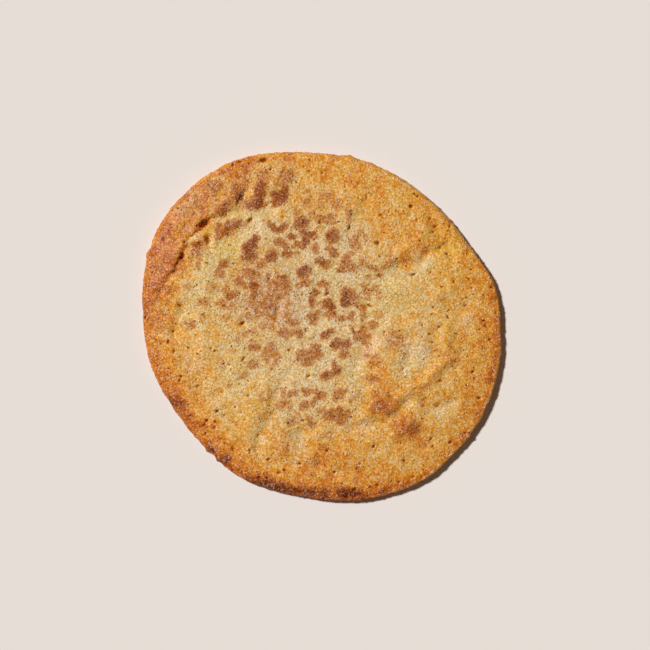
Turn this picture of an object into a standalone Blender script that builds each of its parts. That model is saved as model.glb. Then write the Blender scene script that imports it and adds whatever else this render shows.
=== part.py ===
"""A snickerdoodle: one flat, hand-dropped sugar cookie that rests on its underside.

Metres, +Z up. The underside is the plane z = 0 and the origin is at the middle of the
cookie's box there. +X is to the right and +Y is up as the cookie is seen from above, and
directions are degrees anticlockwise from +X.

The cookie is one closed body. Its plan is a slightly egg-shaped oval with a few flats and
swells, its side is a thin rounded wall, and its top is a height over the plan: a rounded
edge, a shallow dome that sank in the middle, a rim that stayed high on the upper left and
ends in a step, and the soft folds where the dough slumped as it cooled.
"""

import math

import bmesh
import bpy
from mathutils import Vector, noise

MM = 0.001

# ---- plan -------------------------------------------------------------------------------
MEAN_RADIUS = 42.60 * MM  # half of the mean width
OVAL_STRETCH = 2.47 * MM  # longer by this along OVAL_DIRECTION, shorter across it
OVAL_DIRECTION = 141.0
EGG_SHIFT = 0.96 * MM  # the upper left end is the wider one
# Swells (+) and flats (-) of the edge: direction, spread (degrees) and amount.
EDGE_SWELLS = (
    (13.5, 10.5, 1.22 * MM),  # shoulder at the right
    (350.0, 14.0, 0.40 * MM),
    (304.0, 7.0, 0.42 * MM),  # lower right corner
    (240.0, 12.0, 0.92 * MM),  # bottom left swell
    (207.0, 14.0, -0.56 * MM),  # flat of the lower left
    (177.0, 14.0, -1.32 * MM),  # flat of the left side
    (96.0, 16.0, -1.18 * MM),  # flat along the top
    (80.5, 1.8, 0.50 * MM),  # little bump at the top
    (141.0, 22.0, -0.10 * MM),
    (250.0, 9.0, 0.32 * MM),
    (286.0, 14.0, 0.30 * MM),
    (322.0, 26.0, 0.14 * MM),
    (4.0, 9.0, 0.20 * MM),
    (180.0, 5.0, 0.26 * MM),
    (163.0, 6.0, -0.20 * MM),
    (85.0, 4.0, -0.20 * MM),
)
EDGE_CRUMBLE = 0.16 * MM  # uneven, crumbly line of the edge
CRUMBLE_PITCH = 4.0 * MM

# ---- side wall --------------------------------------------------------------------------
WALL_HEIGHT = 1.45 * MM  # where the side is widest
FOOT_SETBACK = 0.75 * MM  # the underside is smaller than the plan by this all round
FOOT_STEPS = 2

# ---- top --------------------------------------------------------------------------------
EDGE_HEIGHT = 2.60 * MM  # top of the rounded edge
EDGE_ROUND = 1.20 * MM  # width over which the edge rounds over
CROWN_HEIGHT = 5.20 * MM  # level of the top inside the rim
CROWN_WIDTH = 25.0 * MM  # distance from the edge where that level is reached
CROWN_ROUND = 0.50  # under 1 the top rises more near the edge
SINK_DEPTH = 0.75 * MM  # how far the middle fell after baking
SINK_RADIUS = 22.0 * MM
SINK_CENTRE = (-5.0 * MM, 1.0 * MM)

# The rim that stayed high: it ends in a step at a distance from the edge that changes with
# the direction round the cookie.
HIGH_RIM_RISE = 1.05 * MM
HIGH_RIM_FROM, HIGH_RIM_TO = 116.0, 196.0  # directions between which the rim is high
HIGH_RIM_FADE = 15.0  # degrees over which it dies out at each end
STEP_RUN = 1.1 * MM  # width of the step's face
STEP_LINE = (  # direction, distance of the step's top from the edge
    (110.0, 7.6 * MM),
    (123.0, 8.7 * MM),
    (131.0, 9.6 * MM),
    (139.0, 8.2 * MM),
    (150.0, 7.4 * MM),
    (160.0, 5.2 * MM),
    (168.0, 4.3 * MM),
    (182.0, 5.0 * MM),
    (200.0, 6.0 * MM),
)

# Folds: the two ends of a ridge (+) or crease (-), its half width and its height.
FOLDS = (
    # the slumped lobe at the upper right and the crease at its lower side
    ((31.0, 25.5), (12.0, 18.5), 4.2, 0.36),
    ((30.5, 21.5), (21.5, 15.0), 1.7, -0.50),
    ((21.5, 15.0), (11.0, 13.2), 1.8, -0.28),
    ((34.0, 15.5), (22.0, 8.0), 3.2, 0.30),
    # the two ridges right of the middle, with the hollow between them
    ((21.0, 4.5), (11.0, -8.5), 2.2, 0.42),
    ((19.5, -1.5), (15.0, -8.0), 2.0, -0.38),
    ((29.0, -3.0), (19.0, -12.0), 2.6, 0.34),
    # crease and ridges of the lower right
    ((33.0, -8.5), (15.0, -19.5), 1.8, -0.36),
    ((33.0, -14.0), (22.0, -21.5), 2.4, 0.34),
    ((24.0, -23.5), (17.5, -28.5), 1.8, -0.34),
    # furrows that run down to the lower left edge
    ((-9.5, -19.5), (-17.5, -28.5), 1.9, -0.40),
    ((-14.0, -16.5), (-22.0, -25.5), 2.0, 0.26),
    ((-5.0, -20.5), (-12.0, -30.0), 1.8, 0.28),
    ((0.0, -24.0), (-4.5, -32.5), 1.7, -0.24),
    # soft lobes of the left half
    ((-24.0, 9.5), (-27.5, -9.0), 3.2, 0.24),
    ((-18.5, -4.0), (-25.0, -16.0), 2.6, -0.22),
    ((-14.5, 27.0), (-24.5, 17.5), 2.3, -0.26),
)
UNEVENNESS = 0.20 * MM  # soft random waviness of the top
UNEVEN_PITCH = 7.5 * MM

# ---- mesh -------------------------------------------------------------------------------
RIM_SEGMENTS = 168  # facets round the edge; halved each time that the rings get small
RING_PITCH = 1.55 * MM
EDGE_RINGS = (0.0, 0.28, 0.80, 1.55, 2.60)  # millimetres in from the edge

CRUST_COLOUR = (0.60, 0.33, 0.12, 1.0)


def smooth(t):
    t = min(max(t, 0.0), 1.0)
    return t * t * (3.0 - 2.0 * t)


def apart(a, b):
    """The angle between two directions, in degrees."""
    return abs((a - b + 180.0) % 360.0 - 180.0)


def bell(distance, spread):
    return math.exp(-((distance / spread) ** 2))


def edge_radius(direction):
    """Distance from the pole to the cookie's edge."""
    turn = math.radians(direction - OVAL_DIRECTION)
    radius = MEAN_RADIUS + OVAL_STRETCH * math.cos(2 * turn) + EGG_SHIFT * math.cos(turn)
    for middle, spread, amount in EDGE_SWELLS:
        radius += amount * bell(apart(direction, middle), spread)
    a = math.radians(direction)
    at = Vector((math.cos(a), math.sin(a), 0.37)) * (MEAN_RADIUS / CRUMBLE_PITCH)
    return radius + EDGE_CRUMBLE * noise.noise(at)


def between(table, direction):
    """The table's value at a direction, on straight lines between its rows."""
    if direction <= table[0][0]:
        return table[0][1]
    for (a0, v0), (a1, v1) in zip(table, table[1:]):
        if direction <= a1:
            return v0 + (v1 - v0) * (direction - a0) / (a1 - a0)
    return table[-1][1]


def fold_height(x, y):
    total = 0.0
    for (x0, y0), (x1, y1), width, height in FOLDS:
        ax, ay, bx, by = x0 * MM, y0 * MM, x1 * MM, y1 * MM
        run = ((x - ax) * (bx - ax) + (y - ay) * (by - ay)) / (
            (bx - ax) ** 2 + (by - ay) ** 2
        )
        run = min(max(run, 0.0), 1.0)
        off = math.hypot(x - ax - run * (bx - ax), y - ay - run * (by - ay))
        total += height * MM * bell(off, width * MM)
    return total


def top_height(x, y):
    """Height of the top over the underside at a point of the plan."""
    direction = math.degrees(math.atan2(y, x)) % 360.0
    inward = max(edge_radius(direction) - math.hypot(x, y), 0.0)

    height = EDGE_HEIGHT + (CROWN_HEIGHT - EDGE_HEIGHT) * smooth(inward / CROWN_WIDTH) ** CROWN_ROUND
    sunk = math.hypot(x - SINK_CENTRE[0], y - SINK_CENTRE[1])
    height -= SINK_DEPTH * bell(sunk, SINK_RADIUS)

    # The high rim: full height from the rounded edge to the step.
    span = (HIGH_RIM_TO - HIGH_RIM_FROM) / 2
    middle = (HIGH_RIM_TO + HIGH_RIM_FROM) / 2
    here = smooth((span + HIGH_RIM_FADE - apart(direction, middle)) / HIGH_RIM_FADE)
    if here > 0.0:
        step = between(STEP_LINE, direction)
        face = 1.0 - smooth((inward - step) / STEP_RUN)
        crest = smooth(inward / (0.55 * step))
        height += HIGH_RIM_RISE * here * face * (0.35 + 0.65 * crest)

    # Folds and waviness die out towards the edge.
    inner = smooth(inward / (6.0 * MM))
    wave = noise.noise(Vector((x, y, 0.013)) / UNEVEN_PITCH)
    height += inner * (fold_height(x, y) + UNEVENNESS * wave)

    # The rounded edge, from the widest line of the side up to the top.
    if inward < EDGE_ROUND:
        t = 1.0 - inward / EDGE_ROUND
        round_over = math.sqrt(max(1.0 - t * t, 0.0))
        height = WALL_HEIGHT + (height - WALL_HEIGHT) * round_over
    return height


def ring_of_points(inward, count, phase=0.0):
    """Points of the plan at one distance in from the edge, measured towards the pole."""
    points = []
    for i in range(count):
        direction = 360.0 * (i + phase) / count
        radius = edge_radius(direction) - inward
        a = math.radians(direction)
        points.append((radius * math.cos(a), radius * math.sin(a)))
    return points


def rings_of_top():
    """Each ring's points and count, from the edge to the pole. Rings halve their count as
    they get small, so that the facets stay even."""
    rings = []
    inward, count = 0.0, RIM_SEGMENTS
    steps = [value * MM for value in EDGE_RINGS]
    shortest = min(edge_radius(d) for d in range(0, 360, 3))
    while steps[-1] + RING_PITCH < shortest - 0.6 * RING_PITCH:
        steps.append(steps[-1] + RING_PITCH)
    for inward in steps:
        left = (shortest - inward) / shortest
        while count % 2 == 0 and left < 0.52 * count / RIM_SEGMENTS:
            count //= 2
        # Towards the pole the rings turn round, so that the last one isn't a thin egg.
        even = smooth(inward / (0.8 * shortest))
        points = []
        for i in range(count):
            direction = 360.0 * i / count
            radius = edge_radius(direction) - inward
            radius += (shortest - inward - radius) * even
            a = math.radians(direction)
            points.append((radius * math.cos(a), radius * math.sin(a)))
        rings.append(points)
    return rings


def join_rings(bm, outer, inner):
    """Faces between two rings of vertices, the inner one of the same or half the count."""
    n, m = len(outer), len(inner)
    if n == m:
        for i in range(n):
            j = (i + 1) % n
            bm.faces.new((outer[i], outer[j], inner[j], inner[i]))
    else:
        for i in range(m):
            j = (i + 1) % m
            a, b, c = outer[2 * i], outer[2 * i + 1], outer[(2 * i + 2) % n]
            bm.faces.new((a, b, inner[i]))
            bm.faces.new((b, inner[j], inner[i]))
            bm.faces.new((b, c, inner[j]))


def build_cookie():
    bm = bmesh.new()

    # Top: rings of the plan lifted to the height of the top, closed by a fan at the pole.
    rings = []
    for points in rings_of_top():
        rings.append([bm.verts.new((x, y, top_height(x, y))) for x, y in points])
    for outer, inner in zip(rings, rings[1:]):
        join_rings(bm, outer, inner)
    pole = bm.verts.new((0.0, 0.0, top_height(0.0, 0.0)))
    last = rings[-1]
    for i in range(len(last)):
        bm.faces.new((last[i], last[(i + 1) % len(last)], pole))

    # Side: a short curve in and down from the widest line to the flat underside.
    below = rings[0]
    for k in range(1, FOOT_STEPS + 1):
        t = math.radians(90.0 * k / FOOT_STEPS)
        inward = FOOT_SETBACK * (1.0 - math.cos(t))
        z = WALL_HEIGHT * (1.0 - math.sin(t))
        foot = [bm.verts.new((x, y, z)) for x, y in ring_of_points(inward, RIM_SEGMENTS)]
        join_rings(bm, foot, below)
        below = foot
    bm.faces.new(list(reversed(below)))

    bmesh.ops.recalc_face_normals(bm, faces=bm.faces)
    xs = [v.co.x for v in bm.verts]
    ys = [v.co.y for v in bm.verts]
    middle = Vector(((min(xs) + max(xs)) / 2, (min(ys) + max(ys)) / 2, 0.0))
    bmesh.ops.translate(bm, verts=bm.verts, vec=-middle)

    mesh = bpy.data.meshes.new("snickerdoodle")
    bm.to_mesh(mesh)
    bm.free()
    mesh.shade_smooth()
    mesh.set_sharp_from_angle(angle=math.radians(55.0))
    return mesh


def crust_material():
    material = bpy.data.materials.new("golden_crust")
    material.use_nodes = True
    shader = material.node_tree.nodes["Principled BSDF"]
    shader.inputs["Base Color"].default_value = CRUST_COLOUR
    shader.inputs["Roughness"].default_value = 0.72
    shader.inputs["Metallic"].default_value = 0.0
    material.diffuse_color = CRUST_COLOUR
    return material


def main():
    for old in list(bpy.data.objects):
        bpy.data.objects.remove(old, do_unlink=True)
    cookie = bpy.data.objects.new("snickerdoodle", build_cookie())
    cookie.data.materials.append(crust_material())
    bpy.context.scene.collection.objects.link(cookie)


main()
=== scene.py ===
"""Looks of the snickerdoodle: the finished crust, its sugar crystals and cinnamon, on a plain
pale floor under a studio lamp, seen from straight above.

Shapes are worked out in millimetres on the cookie's plan, from a pole near its middle with
X to the right and Y up, and turned into metres when a mesh is made. Features are placed by
their pixel in the 650 x 650 photograph.
"""

import math

import bpy
import numpy as np
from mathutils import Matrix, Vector, noise


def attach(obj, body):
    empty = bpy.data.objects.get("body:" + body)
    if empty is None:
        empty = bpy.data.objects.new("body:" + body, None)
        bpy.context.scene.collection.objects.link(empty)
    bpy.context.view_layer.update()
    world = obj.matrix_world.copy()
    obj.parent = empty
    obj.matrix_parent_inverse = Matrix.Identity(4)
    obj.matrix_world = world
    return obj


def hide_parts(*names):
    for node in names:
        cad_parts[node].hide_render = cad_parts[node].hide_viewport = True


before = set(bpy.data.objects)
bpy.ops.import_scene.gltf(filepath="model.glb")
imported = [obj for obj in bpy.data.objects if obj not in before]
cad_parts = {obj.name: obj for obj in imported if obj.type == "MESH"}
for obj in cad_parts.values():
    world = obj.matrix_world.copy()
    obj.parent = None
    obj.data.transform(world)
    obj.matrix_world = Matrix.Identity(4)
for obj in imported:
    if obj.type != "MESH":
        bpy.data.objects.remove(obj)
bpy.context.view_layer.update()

MM = 0.001
K = 0.2396  # millimetres of cookie for each pixel of the photograph
POLE_PX = (321.5, 326.5)  # where the pole is in the photograph


def at(px, py):
    """Plan position in millimetres of a pixel of the photograph."""
    return (px - POLE_PX[0]) * K, (POLE_PX[1] - py) * K


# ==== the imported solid's own plan and relief =============================================
MEAN_RADIUS = 42.60
OVAL_STRETCH, OVAL_DIRECTION = 2.47, 141.0
EGG_SHIFT = 0.96
EDGE_SWELLS = (
    (13.5, 10.5, 1.22),
    (350.0, 14.0, 0.40),
    (304.0, 7.0, 0.42),
    (240.0, 12.0, 0.92),
    (207.0, 14.0, -0.56),
    (177.0, 14.0, -1.32),
    (96.0, 16.0, -1.18),
    (80.5, 1.8, 0.50),
    (141.0, 22.0, -0.10),
    (250.0, 9.0, 0.32),
    (286.0, 14.0, 0.30),
    (322.0, 26.0, 0.14),
    (4.0, 9.0, 0.20),
    (180.0, 5.0, 0.26),
    (163.0, 6.0, -0.20),
    (85.0, 4.0, -0.20),
)
EDGE_CRUMBLE, CRUMBLE_PITCH = 0.16, 4.0
WALL_HEIGHT, FOOT_SETBACK = 1.45, 0.75
EDGE_HEIGHT, EDGE_ROUND = 2.60, 1.20
CROWN_HEIGHT, CROWN_WIDTH, CROWN_ROUND = 5.20, 25.0, 0.50
SINK_DEPTH, SINK_RADIUS, SINK_CENTRE = 0.75, 22.0, (-5.0, 1.0)
HIGH_RIM_RISE, HIGH_RIM_FROM, HIGH_RIM_TO, HIGH_RIM_FADE = 1.05, 116.0, 196.0, 15.0
UNEVENNESS, UNEVEN_PITCH = 0.20, 7.5

# ==== features of the crust, by their pixel in the photograph ============================
# The step where the high rim ends: points along its top.
STEP = (
    (157, 297), (160, 288), (167, 278), (176, 268), (179, 258), (183.5, 249),
    (184.5, 242), (190, 237), (198, 231.5), (203, 225), (210, 218.5), (224, 214),
    (233, 208), (240, 197.5), (246, 187), (250, 178),
)
# how high the step stands at those points, in millimetres
STEP_RISE = (
    0.12, 0.30, 0.42, 0.50, 0.62, 0.50, 0.40, 0.42, 0.55, 0.62, 0.46, 0.34, 0.40, 0.34,
    0.16, 0.0,
)
# how far it is torn open there
STEP_TORN = (
    0.30, 0.30, 0.34, 0.45, 1.00, 0.60, 0.40, 0.40, 0.75, 1.00, 0.55, 0.25, 0.35, 0.30,
    0.10, 0.0,
)
# Ridges (+) and creases (-): a run of points, half width in pixels, height in millimetres.
FOLDS = (
    # upper right: soft lobes that end in one long slumped edge with a crease under it
    (((358, 184), (352, 202), (346, 222)), 9, 0.15),
    (((392, 260), (402, 253), (418, 240), (424, 228)), 6, 0.26),
    (((356, 260), (368, 263), (384, 263)), 6, 0.13),
    (((452, 228), (458, 236), (466, 246)), 6, 0.14),
    (((386, 300), (389, 290), (404, 290), (420, 284)), 7, 0.15),
    (((438, 296), (450, 290), (454, 284)), 6, 0.15),
    (((400, 201), (410, 204)), 7, 0.12),
    (((370, 237), (373, 240)), 4, 0.16),
    (((400, 264), (418, 264), (430, 252), (446, 247), (452, 256)), 5, -0.40),
    (((380, 276), (404, 277), (418, 275)), 6, -0.16),
    (((352, 230), (348, 242)), 6, -0.22),
    (((362, 242), (358, 248)), 5, -0.14),
    (((381, 245), (383, 246)), 4, -0.14),
    (((412, 209), (410, 217)), 4, -0.14),
    (((430, 214), (434, 222), (438, 231)), 4, -0.24),
    (((368, 200), (356, 222)), 6, -0.10),
    (((400, 306), (418, 306), (430, 311)), 6, -0.14),
    (((448, 314), (458, 312), (469, 306)), 8, -0.22),
    (((352, 306), (364, 308)), 6, -0.10),
    (((316, 282), (318, 284)), 4, -0.14),
    (((384, 316), (388, 312)), 5, -0.10),
    (((327, 292), (325, 302)), 5, 0.12),
    (((414, 318), (416, 326)), 7, 0.17),
    (((348, 320), (350, 330)), 4, 0.10),
    # right of the middle: a broad ridge between two hollows
    (((386, 330), (386, 342), (376, 354), (388, 362), (384, 382)), 9, 0.24),
    (((396, 332), (408, 328)), 6, 0.10),
    (((366, 341), (359, 358), (353, 380), (362, 392), (368, 400)), 6, -0.28),
    (((405, 340), (410, 352), (406, 372), (414, 377)), 6, -0.26),
    (((432, 334), (434, 338)), 4, -0.14),
    (((447, 324), (446, 350)), 5, 0.17),
    # lower right: one long ridge, bumps and furrows
    (((452, 357), (440, 366), (430, 376), (427, 382), (413, 388), (399, 398), (391, 407)), 5.5, 0.25),
    (((362, 417), (371, 412), (382, 409)), 4.5, 0.17),
    (((332, 411), (348, 407)), 8, 0.24),
    (((392, 435), (405, 432), (411, 422)), 5, 0.26),
    (((412, 412), (416, 404)), 5, 0.12),
    (((352, 428), (372, 424), (386, 421), (398, 414), (407, 402)), 5, -0.26),
    (((426, 399), (430, 409), (440, 408), (454, 403)), 5, -0.24),
    (((443, 378), (445, 384)), 5, -0.20),
    (((450, 368), (460, 370)), 5, -0.12),
    (((452, 392), (462, 398)), 6, 0.08),
    (((428, 432), (432, 436)), 5, 0.10),
    (((366, 443), (370, 442)), 6, 0.13),
    (((346, 446), (348, 452)), 5, 0.10),
    (((404, 446), (407, 458)), 4, -0.13),
    (((434, 440), (424, 448)), 4, -0.12),
    (((448, 434), (440, 446)), 7, 0.08),
    (((376, 446), (378, 450)), 4, -0.12),
    (((326, 480), (336, 474), (346, 470), (372, 470)), 5, -0.17),
    (((320, 464), (324, 468)), 4, -0.14),
    # the bottom: a crease behind the glossy rim, and furrows that run into it
    (((258, 450), (272, 461), (288, 465), (303, 467), (316, 466)), 5.5, -0.26),
    (((248, 470), (266, 477), (284, 482), (304, 486), (326, 487), (352, 488)), 4.5, 0.16),
    (((268, 420), (262, 436), (256, 449)), 5, -0.24),
    (((318, 424), (302, 431), (298, 447)), 6, -0.15),
    (((285, 416), (285, 434), (283, 450)), 6, 0.20),
    (((318, 446), (313, 458)), 5, 0.12),
    (((286, 376), (276, 393)), 5.5, -0.25),
    (((266, 382), (262, 396), (265, 406), (255, 416), (250, 428), (239, 437), (231, 443)), 6, 0.15),
    (((334, 368), (333, 374)), 7, 0.14),
    (((306, 343), (319, 343)), 5, -0.13),
    (((292, 340), (294, 352)), 4, -0.14),
    # the left: a groove inside the rim, ridges that run into the lower left
    (((184, 308), (178, 322), (174, 336)), 5, -0.22),
    (((184, 312), (196, 314)), 4, -0.16),
    (((164, 296), (176, 304)), 4.5, 0.20),
    (((165, 342), (171, 354), (175, 367), (188, 384), (192, 398), (205, 404), (215, 409)), 6, 0.25),
    (((200, 418), (206, 410)), 7, 0.14),
    (((194, 424), (204, 430), (212, 441)), 4.5, -0.24),
    (((226, 426), (230, 440)), 5, 0.14),
    (((230, 457), (234, 463)), 4.5, -0.20),
    (((204, 322), (204, 350)), 7, 0.16),
    (((223, 378), (218, 396)), 6, -0.19),
    (((206, 372), (212, 374)), 5, -0.09),
    (((226, 350), (228, 368)), 6, -0.12),
    (((242, 344), (241, 358)), 5, 0.10),
    (((257, 362), (259, 370)), 5, -0.09),
    # the upper left and the middle
    (((221, 208), (236, 193)), 4.5, 0.22),
    (((254, 200), (258, 188), (272, 185), (288, 177)), 6.5, 0.22),
    (((316, 168), (315, 182)), 7, 0.12),
    (((246, 192), (240, 210)), 3.6, -0.26),
    (((239, 220), (237, 225)), 5, 0.20),
    (((194, 244), (204, 236)), 3.6, 0.22),
    (((254, 220), (256, 224)), 4, -0.16),
    (((228, 231), (236, 242)), 4.5, -0.16),
    (((264, 204), (272, 214)), 5, -0.14),
    (((248, 242), (243, 257)), 6, 0.14),
    (((205, 263), (209, 265)), 6, 0.10),
    (((204, 283), (205, 287)), 4, -0.14),
    (((256, 260), (262, 271), (270, 285)), 3.6, -0.14),
    (((281, 301), (277, 315)), 4, -0.24),
    (((283, 282), (294, 293), (296, 304)), 4.5, 0.17),
    (((298, 278), (301, 288)), 3, -0.12),
    (((246, 299), (246, 303)), 4, -0.12),
    (((262, 318), (244, 324)), 4, -0.12),
    (((286, 194), (294, 206)), 5, -0.12),
    (((310, 230), (324, 230)), 4, -0.12),
    (((281, 212), (290, 226)), 6, 0.09),
    (((316, 258), (300, 276)), 6, 0.07),
)
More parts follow.
